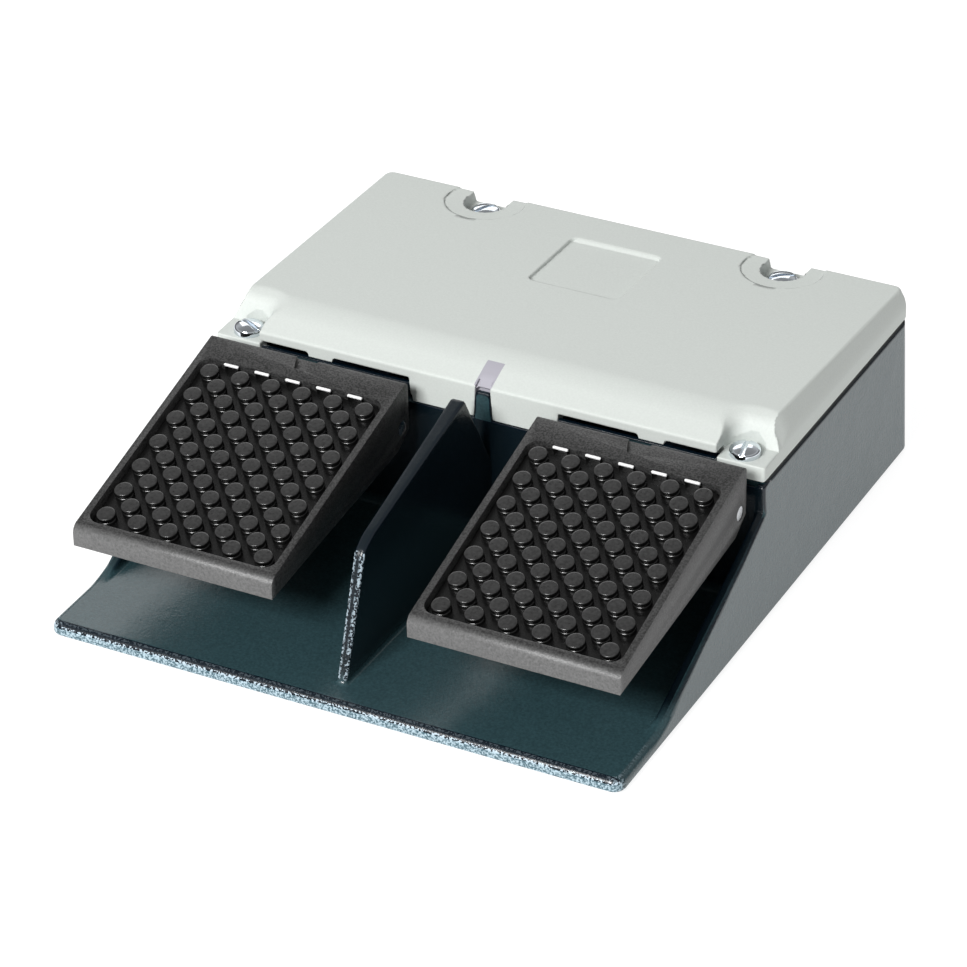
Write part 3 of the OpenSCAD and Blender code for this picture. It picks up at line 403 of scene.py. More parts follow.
def ground_steel():
    """Centreless-ground steel rod: bright, with fine rings left by the wheel."""
    colour = hex_colour("#C3C6C9")
    material, tree, shader, coords = start_finish("ground_steel", colour, 0.25, Metallic=1.0)
    stretch = add_node(
        tree, "ShaderNodeMapping", values={"Scale": (8.0, 0.4, 0.4)},
        links={"Vector": (coords, "Object")})
    rings = add_node(
        tree, "ShaderNodeTexNoise", values={"Scale": 1 / (1.5 * MM), "Detail": 2},
        links={"Vector": (stretch, "Vector")})
    roughness_by(tree, shader, rings, 0.18, 0.35)
    bump_by(tree, shader, rings, 0.004)
    return material


# Metals that need no more than a grain, by slot: name, colour, roughness, lumps, span and bump.
METALS = {
    # Bright zinc on steel: a clear, slightly milky mirror.
    "zinc_steel": ("bright_zinc_plate", "#DCE2E8", 0.1, 0.8, (0.06, 0.14), (0.6, 0.008)),
    # Drawn patented spring wire, lightly oiled: dark grey with a dull shine.
    "spring_steel": ("drawn_spring_wire", "#8C8F92", 0.32, 0.6, (0.25, 0.42)),
    # Turned bearing bronze: warm and finely grained.
    "bearing_bronze": ("bearing_bronze", "#B08A55", 0.35, 0.5, (0.28, 0.42), (0.5, 0.004)),
    # Plated brass of terminals: yellow and bright.
    "brass_plated": ("plated_brass", "#C9AF62", 0.28, 0.5, (0.22, 0.38)),
    # Nickel on turned brass: greyer and softer than zinc.
    "nickel_brass": ("nickel_plated_brass", "#A9ABAC", 0.25, 0.7, (0.2, 0.34), (0.5, 0.004)),
}
# Plastics and rubber that need no more, by slot: name, colour, roughness, IOR, lumps, span and bump.
MOULDINGS = {
    # Plain black rubber of seals and feet: matt.
    "black_rubber": ("black_seal_rubber", "#141414", 0.75, 1.5, 1.5, (0.8, 1.3), (0.5, 0.02)),
    # Natural acetal of the hinge bushes: ivory and waxy.
    "bush_plastic": ("natural_acetal", "#E2DDCB", 0.4, 1.48, 1, (0.96, 1.02)),
    # Thermoset of the switch bodies: dark grey-blue, smooth.
    "switch_plastic": ("moulded_thermoset", "#2A3440", 0.35, 1.55, 1, (0.85, 1.15), (0.6, 0.01)),
    # Acetal of the switches' push rods: red.
    "actuator_plastic": ("red_acetal", "#B3262A", 0.35, 1.48, 0.8, (0.92, 1.05)),
}
FINISHES = {
    "dark_powder_coat": powder_coat,
    "light_grey_cover": cover_paint,
    "black_pedal_plastic": moulded_pedal,
    "stud_rubber": stud_rubber,
    "bright_steel": ground_steel,
}
made_finishes = {}


def finish_of(slot):
    """The material of one of the record's slots, made once."""
    if slot not in made_finishes:
        if slot in METALS:
            made_finishes[slot] = plain_metal(*METALS[slot])
        elif slot in MOULDINGS:
            made_finishes[slot] = plain_moulding(*MOULDINGS[slot])
        else:
            made_finishes[slot] = FINISHES[slot]()
    return made_finishes[slot]


def slot_of(node):
    """The record's material slot of a node."""
    return next(part["material_slot"] for part in frame["record"]["subparts"] if part["node"] == node)


def body_of(node):
    """The body that a node belongs to."""
    bodies = frame["record"]["behaviour"]["bodies"]
    return next(body for body, nodes in bodies.items() if node in nodes)


def dress_node(node):
    """Gives a node that keeps its shape the finish of its slot."""
    mesh = frame["nodes"][node].data
    mesh.materials.clear()
    mesh.materials.append(finish_of(slot_of(node)))


def add_object(name, data):
    """A new object in the scene."""
    piece = bpy.data.objects.new(name, data)
    bpy.context.scene.collection.objects.link(piece)
    return piece


def shade_smooth(mesh):
    """Marks every face as smooth."""
    mesh.polygons.foreach_set("use_smooth", np.ones(len(mesh.polygons), dtype=bool))


def clean_copy(node, name, flat_degrees=0.3):
    """A merged copy of a node's mesh, with the triangles of each flat face joined into one face."""
    mesh = frame["nodes"][node].data.copy()
    mesh.name = name
    form = bmesh.new()
    form.from_mesh(mesh)
    bmesh.ops.remove_doubles(form, verts=form.verts, dist=0.002 * MM)
    bmesh.ops.dissolve_limit(
        form, angle_limit=math.radians(flat_degrees), verts=form.verts, edges=form.edges, delimit=set())
    form.to_mesh(mesh)
    form.free()
    mesh.materials.clear()
    shade_smooth(mesh)
    return add_object(name, mesh)


def round_edges(piece, width, segments=2, degrees=28):
    """A bevel on every edge sharper than the angle, with the flat faces kept flat."""
    bevel = piece.modifiers.new("rounded edges", "BEVEL")
    bevel.width = width
    bevel.segments = segments
    bevel.limit_method = "ANGLE"
    bevel.angle_limit = math.radians(degrees)
    bevel.harden_normals = True
    bevel.use_clamp_overlap = True
    bevel.miter_outer = "MITER_ARC"
    return bevel


def shared(*fields):
    """Field of what solids share, with sharp edges.

    Fields are distances in millimetres, negative inside.
    """
    return np.maximum.reduce(fields)


def joined(*fields):
    """Field of solids joined, with sharp corners."""
    return np.minimum.reduce(fields)


def round_both(first, second, radius):
    """Field of what two solids share, with the edge where they meet rounded to the radius.

    Near the edge the field is the distance from a circle of the radius that touches both faces.
    """
    corner = np.hypot(np.maximum(first + radius, 0), np.maximum(second + radius, 0))
    return np.minimum(np.maximum(first, second), -radius) + corner


def fillet_both(first, second, radius):
    """Field of two solids joined, with a fillet of the radius where they meet."""
    corner = np.hypot(np.maximum(radius - first, 0), np.maximum(radius - second, 0))
    return np.maximum(np.minimum(first, second), radius) - corner


def cut_away(solid, tool, radius):
    """Field of a solid less a tool, with the cut's rim rounded to the radius."""
    return round_both(solid, -tool, radius)


def plan_outline(x, y, half_width, front, rear, front_radius, rear_radius):
    """Distance from a rectangle with rounded corners, seen from above and mirrored at x = 0."""
    middle = (front + rear) / 2
    radius = np.where(y < middle, front_radius, rear_radius)
    across = np.abs(x) - half_width + radius
    along = np.abs(y - middle) - (rear - front) / 2 + radius
    outside = np.hypot(np.maximum(across, 0), np.maximum(along, 0))
    return np.minimum(np.maximum(across, along), 0) + outside - radius


def grid_lines(*stops):
    """Grid lines from (place, spacing) pairs: each spacing holds from its place to the next."""
    runs = []
    for (start, spacing), (end, _) in zip(stops, stops[1:]):
        count = max(1, math.ceil((end - start) / spacing))
        runs.append(np.linspace(start, end, count, endpoint=False))
    return np.concatenate([*runs, [stops[-1][0]]])


def mirrored_lines(*stops):
    """The lines of grid_lines from 0 outwards, on both sides of 0."""
    half = grid_lines(*stops)
    return np.concatenate([-half[:0:-1], half])


def skin_of(field, lines):
    """Points, quads and normals of the surface where the field is zero.

    Each grid box that the surface passes through gets one point, the middle of the crossings on
    the box's edges, moved onto the surface along the field's slope. Each grid edge that the
    surface crosses gets one quad between the points of the four boxes round it.
    """
    values = field(*np.meshgrid(*lines, indexing="ij")).astype(np.float32)
    inside = values < 0
    steps = np.array(list(itertools.product((0, 1), repeat=3)))
    count = [len(line) - 1 for line in lines]
    corners = [inside[i:i + count[0], j:j + count[1], k:k + count[2]] for i, j, k in steps]
    mixed = np.logical_or.reduce(corners) & ~np.logical_and.reduce(corners)
    boxes = np.argwhere(mixed)
    number = np.full(mixed.shape, -1, dtype=np.int32)
    number[tuple(boxes.T)] = np.arange(len(boxes))

    ends = boxes[:, None] + steps
    value = values[tuple(np.moveaxis(ends, 2, 0))]
    place = np.stack([line[ends[..., axis]] for axis, line in enumerate(lines)], axis=-1)
    pairs = np.array([
        (a, b) for a in range(8) for b in range(a + 1, 8) if np.abs(steps[a] - steps[b]).sum() == 1])
    low, high = value[:, pairs[:, 0]], value[:, pairs[:, 1]]
    crossed = (low < 0) != (high < 0)
    share = np.where(crossed, low / np.where(crossed, low - high, 1), 0)[..., None]
    crossing = place[:, pairs[:, 0]] * (1 - share) + place[:, pairs[:, 1]] * share
    points = (crossing * crossed[..., None]).sum(axis=1) / crossed.sum(axis=1)[:, None]

    room = np.stack([np.diff(line)[boxes[:, axis]] for axis, line in enumerate(lines)], axis=-1)
    start = points.copy()
    reach = 0.02
    for _ in range(4):
        slope = np.stack([
            field(*(points + reach * way).T) - field(*(points - reach * way).T) for way in np.eye(3)
        ], axis=-1) / (2 * reach)
        size = np.maximum((slope ** 2).sum(axis=1), 0.1)
        points = points - slope * (field(*points.T) / size)[:, None]
        points = np.clip(points, start - room, start + room)
    normals = slope / np.linalg.norm(slope, axis=1)[:, None]

    quads = []
    for axis in range(3):
        first, second = [other for other in range(3) if other != axis]
        here = np.moveaxis(inside, axis, 0)
        change = here[:-1] != here[1:]
        change[:, (0, -1)] = False
        change[:, :, (0, -1)] = False
        along, a, b = np.nonzero(change)
        leaves = here[along, a, b]
        ring = []
        for da, db in ((-1, -1), (0, -1), (0, 0), (-1, 0)):
            box = [None] * 3
            box[axis], box[first], box[second] = along, a + da, b + db
            ring.append(number[tuple(box)])
        ring = np.stack(ring, axis=-1)
        turn = leaves if axis != 1 else ~leaves
        quads.append(np.where(turn[:, None], ring, ring[:, ::-1]))
    return points, np.concatenate(quads), normals


def skin_piece(name, field, lines):
    """A piece whose surface is the field's, in the base's own millimetres, with the field's normals."""
    points, quads, normals = skin_of(field, lines)
    mesh = bpy.data.meshes.new(name)
    places = (points + np.array(BASE_PLACE)) * MM
    mesh.from_pydata(places.tolist(), [], quads.tolist())
    shade_smooth(mesh)
    mesh.normals_split_custom_set_from_vertices(normals.tolist())
    return add_object(name, mesh)


CREASE_ROUND = 3.0
LIP_ROUND = 1.0
BROW_ROUND = 0.7
LIP_HEIGHT = 6.9
LIP_RISE = 2.3
PAST_FRONT = 60


def cover_top(x, y, z):
    """Field of the cover's outer form above its own lower edge, before the corners are sunk.

    Level planes for the crown and the front bevel, and one leaning plane carried round the
    outline above an upright lip, all rounded where they meet.
    """
    outline = plan_outline(x, y, COVER_HALF, BAY, COVER_REAR, *COVER_CORNERS)
    crown = (z - crown_height(y)) * math.cos(CROWN_TILT)
    bevel = (z - crown_height(CREASE) + (CREASE - y) * math.tan(BEVEL_TILT)) * math.cos(BEVEL_TILT)
    around = plan_outline(x, y, COVER_HALF, BAY - PAST_FRONT, COVER_REAR, *COVER_CORNERS)
    sides = np.maximum(around, np.abs(x) - COVER_HALF)
    facet = (sides + (z - lip_height(y)) * math.tan(SIDE_LEAN)) * math.cos(SIDE_LEAN)
    top = round_both(crown, bevel, CREASE_ROUND)
    return round_both(top, round_both(outline, facet, LIP_ROUND), BROW_ROUND)


def crown_height(y):
    """Height of the cover's crown, which rises towards the front."""
    return CROWN_BACK + (BASE_DEPTH - y) * math.tan(CROWN_TILT)


def lip_height(y):
    """Height of the crease above the cover's upright lip, which rises towards the front."""
    return COVER_FOOT + LIP_HEIGHT + LIP_RISE * (BASE_DEPTH - y) / (BASE_DEPTH - BAY)


# What is sunk round a front screw. EVEN values turn a leaning plane's height into a distance.
POCKET_SIDE = 98.0
POCKET_BACK = 141.3
POCKET_LEAN = 0.44
POCKET_EVEN = 0.915
POCKET_TURN = 6.5
POCKET_BORE = 8.7
CONE_FOOT = 74.5
CONE_START = 10.4
CONE_RISE = 0.34
CONE_EVEN = 0.947
CONE_FILLET = 2.2
SIDE_FADE = 0.15
SIDE_END = 144.5


def corner_pocket(x, y, z):
    """Field of what is sunk round a front screw: a level seat, a steep wall and a shallow cone."""
    away = np.hypot(x - SCREWS["front"][0], y - SCREWS["front"][1])
    seat = SEAT - z
    wall = (y - POCKET_BACK + seat * POCKET_LEAN) * POCKET_EVEN
    low = np.maximum(round_both(POCKET_SIDE - x, wall, POCKET_TURN), seat)
    bore = np.maximum(away - POCKET_BORE, seat)
    cone = (CONE_FOOT + CONE_RISE * (away - CONE_START) - z) * CONE_EVEN
    facet = (x - COVER_HALF - seat * math.tan(SIDE_LEAN)) * math.cos(SIDE_LEAN)
    side = np.maximum(SIDE_FADE * np.maximum(y - SIDE_END, 0) - facet, seat)
    return np.minimum(np.minimum(fillet_both(low, cone, CONE_FILLET), bore), side)


NOTCH_BORE = 9.0
NOTCH_ROUND = 0.5
DISH_RADIUS = 16.8
DISH_DEPTH = 0.7
DISH_RISE = 0.03


def rear_notch(x, y, z):
    """Field of what is cut for a rear screw: a round well open to the rear, in a round shallow dish."""
    aside, back = x - SCREWS["rear"][0], y - SCREWS["rear"][1]
    ring = np.hypot(aside, back)
    away = np.where(back > 0, np.abs(aside), ring)
    well = round_both(SEAT - z, away - NOTCH_BORE, NOTCH_ROUND)
    floor = crown_height(y) - DISH_DEPTH - DISH_RISE * (DISH_RADIUS - ring)
    return np.minimum(well, np.maximum(floor - z, ring - DISH_RADIUS))


LABEL_BOX = (20.0, 205.3, 246.8, 3.0, 3.0)
LABEL_DEPTH = 1.4
LABEL_SIDE_LEAN = 0.25
LABEL_SIDE_EVEN = 0.97
LABEL_BACK_LEAN = 1.2
LABEL_BACK_EVEN = 0.64


def label_recess(x, y, z):
    """Field of the bare label recess: a shallow tray, steep at its sides and sloped at its back."""
    depth = crown_height(y) - z
    sides = (plan_outline(x, y, *LABEL_BOX) + LABEL_SIDE_LEAN * depth) * LABEL_SIDE_EVEN
    back = (y - LABEL_BOX[2] + LABEL_BACK_LEAN * depth) * LABEL_BACK_EVEN
    return shared(sides, back, depth - LABEL_DEPTH)


TAB_TOP = 68.2
SCOOP_FLOOR = 68.4
SCOOP_RISE = 0.86
SCOOP_EVEN = 0.75
SCOOP_WIDTH = 3.2
SCOOP_TAPER = 0.075
SCOOP_REACH = 2.6
SCOOP_LIP = 68.6


def tab_scoop(x, y, z):
    """Field of the scoop above the locating tab: a slot whose floor rises backwards."""
    floor = (SCOOP_FLOOR + (y - BAY) * SCOOP_RISE - z) * SCOOP_EVEN
    narrow = x - SCOOP_WIDTH - (TAB_TOP - z) * SCOOP_TAPER
    slot = np.maximum(narrow, y - BAY - SCOOP_REACH)
    return np.minimum(np.maximum(narrow, floor), slot + np.maximum(z - SCOOP_LIP, 0))


APRON_HALF = 30.5
APRON_LOW = 56.7
APRON_HIGH = 64.0
APRON_FLARE = 0.1
TONGUE_HALF = 5.2
TONGUE_BEND = 65.8
TONGUE_FLARE = 0.6
EAVE_AT_TONGUE = 64.8
EAVE = 66.8
EAVE_HALF = 31.5
EAVE_LEVEL = 60
EAVE_REACH = 7


def cover_field(x, y, z):
    """Field of the whole cover: a shell open below, with apron, eaves, legs and screw seats."""
    x = np.abs(x)
    form = cover_top(x, y, z)
    form = cut_away(form, corner_pocket(x, y, z), 0.4)
    form = cut_away(form, rear_notch(x, y, z), 0.5)
    hollow = np.maximum(form + COVER_SHELL, BAY + COVER_FRONT - y)
    form = cut_away(form, label_recess(x, y, z), 0.5)
    form = round_both(form, COVER_FOOT - z, 0.6)
    apron = shared(
        x - APRON_HALF - (z - APRON_LOW) * APRON_FLARE, y - BAY - APRON, BAY - y, APRON_LOW - z,
        z - APRON_HIGH)
    form = np.minimum(form, apron)
    tongue = np.abs(x - PEDAL_MIDDLE) - TONGUE_HALF - np.maximum(z - TONGUE_BEND, 0) * TONGUE_FLARE
    eave = np.where(tongue < 0, EAVE_AT_TONGUE, EAVE)
    cut = shared(
        z - eave, EAVE_HALF + (z - EAVE_LEVEL) * APRON_FLARE - x, x - POCKET_SIDE, y - BAY - EAVE_REACH)
    form = cut_away(form, cut, 0.6)
    form = cut_away(form, tab_scoop(x, y, z), 0.4)
    holes = [SCREW_HOLE - np.hypot(x - aside, y - back) for aside, back in SCREWS.values()]
    return shared(form, -hollow, *holes)


def cover_lines():
    """Grid lines that lie close together where the cover turns and far apart where it is plain."""
    across = mirrored_lines(
        (0, 0.7), (4.2, 4), (18.5, 0.7), (21.5, 4), (29.5, 0.7), (33.5, 4), (48, 1.0), (85, 2),
        (90, 0.65), (119, 1))
    along = grid_lines((127, 0.65), (158, 5), (204, 0.6), (207, 5), (243, 0.75), (271, 1))
    return across, along, grid_lines((55.6, 0.6), (79, 1))


def above_line(y, z, start, end):
    """Distance above the straight line from start to end, seen from the right side."""
    run, rise = end[0] - start[0], end[1] - start[1]
    return ((z - start[1]) * run - (y - start[0]) * rise) / math.hypot(run, rise)


SLOPE_FOOT = (35, FLOOR)
SLOPE_BEND = (108, 36)
SLOPE_TOP = (128, 46)
SLOPE_OVERLAP = 22


def slope_profile(y, z):
    """Distance above the side walls' top line: two slopes, then the step up to the bay's rim."""
    low, high = above_line(y, z, SLOPE_FOOT, SLOPE_BEND), above_line(y, z, SLOPE_BEND, SLOPE_TOP)
    slope = np.maximum(np.minimum(low, high), y - BAY - SLOPE_OVERLAP)
    return np.minimum(slope, np.maximum(BAY - y, z - WALL_TOP))


SEAL_STEP = 2.7
FENCE_MIDDLE = 64.5
FENCE_HALF = 33.2
FENCE_STEP = 0.4
FENCE_TOP = 64.5
RIM_LARGE = 3.2
RIM_LESS = 1.9
RIM_FROM = 7
RIM_OVER = 5
SPRING_SEAT = (87.5, 8.5)
SPRING_SEAT_HEIGHT = 2
BORE_FRONT = 7.0
BORE_BACK = 6.0
BORE_STEP = 2.5
BORE_LENGTH = 8
FOOT_PLACE = (102, 135, 117)
FOOT_HOLE = 9.02
FOOT_SUNK = 2.5


def base_field(x, y, z):
    """Field of the base casting: plate, drafted side walls, rear wall and front wall.

    The open tray inside is filleted where its walls meet, and what is left is trimmed to the
    outline, with the plate's rim rounded more than the walls' tops.
    """
    x = np.abs(x)
    half = BASE_HALF - np.maximum(z, 0) * WALL_DRAFT / WALL_TOP
    outline = plan_outline(x, y, half, 0, BASE_DEPTH, *BASE_CORNERS)
    sides = round_both(WALL_INSIDE - x, slope_profile(y, z), 1.3)
    rear = round_both(BASE_DEPTH - WALL - y, z - WALL_TOP, 1.0)
    tray = fillet_both(z - FLOOR, fillet_both(sides, rear, 2.5), 1.6)
    front = shared(BAY - y, y - BAY - WALL, z - SILL)
    seal = shared(BAY + SEAL_STEP - y, y - BAY - WALL, z - WALL_TOP)
    fence = shared(
        np.abs(x - FENCE_MIDDLE) - FENCE_HALF, BAY + FENCE_STEP - y, y - BAY - APRON, z - FENCE_TOP)
    tray = fillet_both(tray, joined(front, seal, fence), 0.8)
    rim = RIM_LARGE - RIM_LESS * np.clip((z - RIM_FROM) / RIM_OVER, 0, 1)
    form = round_both(round_both(outline, tray, rim), -z, 1.2)
    aside = x - PEDAL_MIDDLE
    seat = np.hypot(aside, y - SPRING_SEAT[0]) - SPRING_SEAT[1]
    seat = shared(seat, z - FLOOR - SPRING_SEAT_HEIGHT, 3 - z)
    radius = np.where(y < BAY + BORE_STEP, BORE_FRONT, BORE_BACK)
    bore = np.maximum(np.hypot(aside, z - PLUNGER_HEIGHT) - radius, y - BAY - BORE_LENGTH)
    foot_aside, foot_middle, foot_along = FOOT_PLACE
    foot = np.hypot(x - foot_aside, np.abs(y - foot_middle) - foot_along) - FOOT_HOLE
    return shared(np.minimum(form, seat), -bore, -np.maximum(foot, z - FOOT_SUNK))


def base_lines():
    """Grid lines that lie close together at the walls, the bores and the edges of the plate."""
    across = mirrored_lines(
        (0, 4), (60, 1.3), (82, 4), (112, 0.6), (121, 1))
    along = grid_lines(
        (-1.2, 0.65), (12, 2.6), (104, 1.0), (136, 4.5), (260, 0.7), (271.4, 1))
    upward = grid_lines((-0.8, 0.6), (10, 1.3), (54, 0.8), (67, 1))
    return across, along, upward


# The rib's outline from its foot over the knee and the peak to the front wall, as (y, z) places.
RIB_OUTLINE = ((11.4, FLOOR), (28.3, 53.2), (34.3, 57.3), (108.4, 76.2), (119.2, SILL))
RIB_HALF = 1.8
RIB_SWELL = 1.45
RIB_FRONT = 8
TAB_HALF = 3.8
TAB_TAPER = 0.077
TAB_FOOT = 50
TAB_ROUND_TOP = 68.1


def rib_field(x, y, z):
    """Field of the upright rib between the pedals and of the locating tab behind it.

    The rib is convex seen from the side, thicker towards the rear and filleted to the plate.
    """
    x = np.abs(x)
    faces = [above_line(y, z, start, end) for start, end in zip(RIB_OUTLINE, RIB_OUTLINE[1:])]
    side = faces[0]
    for face in faces[1:]:
        side = round_both(side, face, 1.5)
    side = np.maximum(side, y - BAY - 1)
    half = RIB_HALF + RIB_SWELL * y / BAY
    rib = fillet_both(round_both(side, x - half, 1.3), z - FLOOR + 0.05, 1.6)
    rib = shared(rib, x - half - 3, RIB_FRONT - y, y - BAY - 1, 3 - z)
    tab = shared(
        x - TAB_HALF + (z - SILL) * TAB_TAPER, BAY + 0.05 - y, y - BAY - APRON, TAB_FOOT - z)
    return np.minimum(rib, round_both(tab, z - TAB_ROUND_TOP, 1.0))


def rib_lines():
    """An even fine grid round the thin rib."""
    return (
        mirrored_lines((0, 0.6), (7.8, 1)),
        grid_lines((6.8, 0.9), (106, 0.7), (131.5, 1)),
        grid_lines((2.2, 0.7), (10, 1.0), (52, 0.8), (77.6, 1)))


LUG_ASIDE = 28
LUG_HALF = 4
LUG_RADIUS = 7.5
LUG_BORE = 4.5
WEB_FRONT = (112.4, 45.2)
WEB_BACK = (BAY, 35.7)


def lug_field(x, y, z):
    """Field of the hinge lugs: round ends, webbed to the front wall and bored for the bushes."""
    across = np.abs(np.abs(np.abs(x) - PEDAL_MIDDLE) - LUG_ASIDE) - LUG_HALF
    away = np.hypot(y - PIN[0], z - PIN[1])
    block = shared(PIN[0] - y, z - PIN[1] - LUG_RADIUS, PIN[1] - z)
    web = shared(-above_line(y, z, WEB_FRONT, WEB_BACK), z - PIN[1], WEB_FRONT[0] - y)
    profile = joined(away - LUG_RADIUS, block, web)
    lug = np.maximum(round_both(profile, across, 0.6), y - BAY)
    return np.maximum(lug, LUG_BORE - away)


def lug_lines():
    """A fine grid at the lugs and a wide one between them."""
    return (
        mirrored_lines((0, 9), (36, 0.75), (50, 9), (92, 0.75), (105, 1)),
        grid_lines((106, 0.75), (129.5, 1)),
        grid_lines((33, 0.75), (61, 1)))


DOME_RADIUS = 9.6
SLOT_HALF = 0.85
SLOT_DEPTH = 1.9
SHANK_RADIUS = 3.0
SHANK_LENGTH = 20.0


def screw_field(row):
    """Field of a row's two screws: a domed head with a slot at its own turn, and a plain shank."""
    middle = SCREWS[row]
    turns = [math.radians(turn) for turn in SLOT_TURNS[row]]

    def field(x, y, z):
        aside, back, up = np.abs(x) - middle[0], y - middle[1], z - SEAT
        aside = np.where(x < 0, -aside, aside)
        away = np.hypot(aside, back)
        dome = np.sqrt(away ** 2 + (up + DOME_RADIUS) ** 2) - DOME_RADIUS - SCREW_RISE
        head = np.maximum(round_both(dome, away - SCREW_HEAD, 0.9), -up)
        turn = np.where(x < 0, turns[0], turns[1])
        across = np.abs(back * np.cos(turn) - aside * np.sin(turn)) - SLOT_HALF
        head = cut_away(head, np.maximum(across, SCREW_RISE - SLOT_DEPTH - up), 0.2)
        shank = shared(away - SHANK_RADIUS, up - 0.5, -SHANK_LENGTH - up)
        return np.minimum(head, shank)
    return field


def screw_lines(row):
    """A fine grid round each of a row's two screws and a wide one between them."""
    aside, back = SCREWS[row]
    reach = SCREW_HEAD + 0.6
    foot = SEAT - SHANK_LENGTH - 0.8
    return (
        mirrored_lines((0, 20), (aside - reach, 0.3), (aside + reach, 1)),
        grid_lines((back - reach, 0.3), (back + reach, 1)),
        grid_lines((foot, 1.0), (SEAT - 0.8, 0.3), (SEAT + SCREW_RISE + 0.6, 1)))


def ring_walls(rings, sides):
    """The numbers of each ring's points, of the points beside them, and the quads between rings."""
    index = np.arange(rings * sides).reshape(rings, sides)
    beside = np.roll(index, -1, axis=1)
    walls = np.stack([index[:-1], beside[:-1], beside[1:], index[1:]], axis=-1).reshape(-1, 4)
    return index, beside, walls


def turned_studs(places, profile, sides):
    """Studs at the places: the profile of (radius, height) turned round each place's own axis."""
    turn = np.arange(sides) * 2 * math.pi / sides
    radius, height = np.array(profile).T
    ring = np.stack([
        radius[:, None] * np.cos(turn), radius[:, None] * np.sin(turn),
        np.repeat(height[:, None], sides, axis=1)], axis=-1).reshape(-1, 3)
    one = np.vstack([ring, [[0, 0, height[0]], [0, 0, height[-1]]]])
    index, beside, walls = ring_walls(len(profile), sides)
    foot = np.stack([beside[0], index[0], np.full(sides, len(ring))], axis=-1)
    cap = np.stack([index[-1], beside[-1], np.full(sides, len(ring) + 1)], axis=-1)
    points = (places[:, None] + one).reshape(-1, 3)
    offsets = (np.arange(len(places)) * len(one))[:, None, None]
    return points, [(faces + offsets).reshape(-1, faces.shape[1]) for faces in (walls, foot, cap)]


def rounded_sheet(width, start, end, radius, profile):
    """A flat sheet: the profile of (inset, height) carried round a rectangle with rounded corners."""
    steps = np.linspace(0, math.pi / 2, 7)
    rings = []
    for inset, height in profile:
        arc = radius - inset
        ring = []
        for quarter, (sx, sy) in enumerate(((1, 1), (-1, 1), (-1, -1), (1, -1))):
            turn = steps + quarter * math.pi / 2
            cx = sx * (width / 2 - radius)
            cy = (end - radius) if sy > 0 else (start + radius)
            level = np.full(len(turn), height)
            ring.append(np.stack([cx + arc * np.cos(turn), cy + arc * np.sin(turn), level], axis=-1))
        rings.append(np.concatenate(ring))
    sides = len(rings[0])
    index, _, walls = ring_walls(len(profile), sides)
    return np.concatenate(rings), walls.tolist() + [index[0, ::-1].tolist(), index[-1].tolist()]


def pedal_place(points, sign):
    """Places given across, up the slope and above the pedal's top face, in the model's metres."""
    across, along, above = points.T
    lean, rise = math.cos(PEDAL_TILT), math.sin(PEDAL_TILT)
    place = np.stack([
        across + sign * PEDAL_MIDDLE, PEDAL_NOSE[0] + along * lean - above * rise,
        PEDAL_NOSE[1] + along * rise + above * lean], axis=-1)
    return (place + np.array(BASE_PLACE)) * MM


# Profiles are (radius or inset, height) pairs. A pedal's own coordinates count from its front lip up
# the slope, and from its top face upwards.
STUD_PITCH = 13.6
STUD_ROWS = 13
STUD_SIDES = 22
FIRST_ROW = 10.25
STUD_PROFILE = (
    (3.75, -0.1), (3.75, 1.35), (3.62, 1.55), (3.4, 1.7), (3.4, 2.15), (3.62, 2.3), (3.75, 2.5),
    (3.75, 3.45), (3.64, 3.78), (3.36, 3.97), (2.9, 4.0))
# Where the studs' tops start to be greyed, partly as wear and partly as painted light.
LIT_WORN_FROM = 3.6
LIT_WORN_OVER = 0.3
MAT_SHEET = (79.6, 5.2, 97.9, 5.0)
SHEET_TOP = -3.6
SHEET_PROFILE = ((0, SHEET_TOP - 0.8), (0, SHEET_TOP - 0.2), (0.2, SHEET_TOP))
TONGUES = 5
TONGUE = (6.4, 96.7, 97.8, 0.5)
TONGUE_PROFILE = ((0, -3.7), (0, -0.75), (0, -0.7), (0, -0.2), (0.25, 0.05))
# Where the tongues' painted highlight starts, and the mark that carries it.
GLINT_ABOVE = -0.72
GLINT_MARK = 3.0


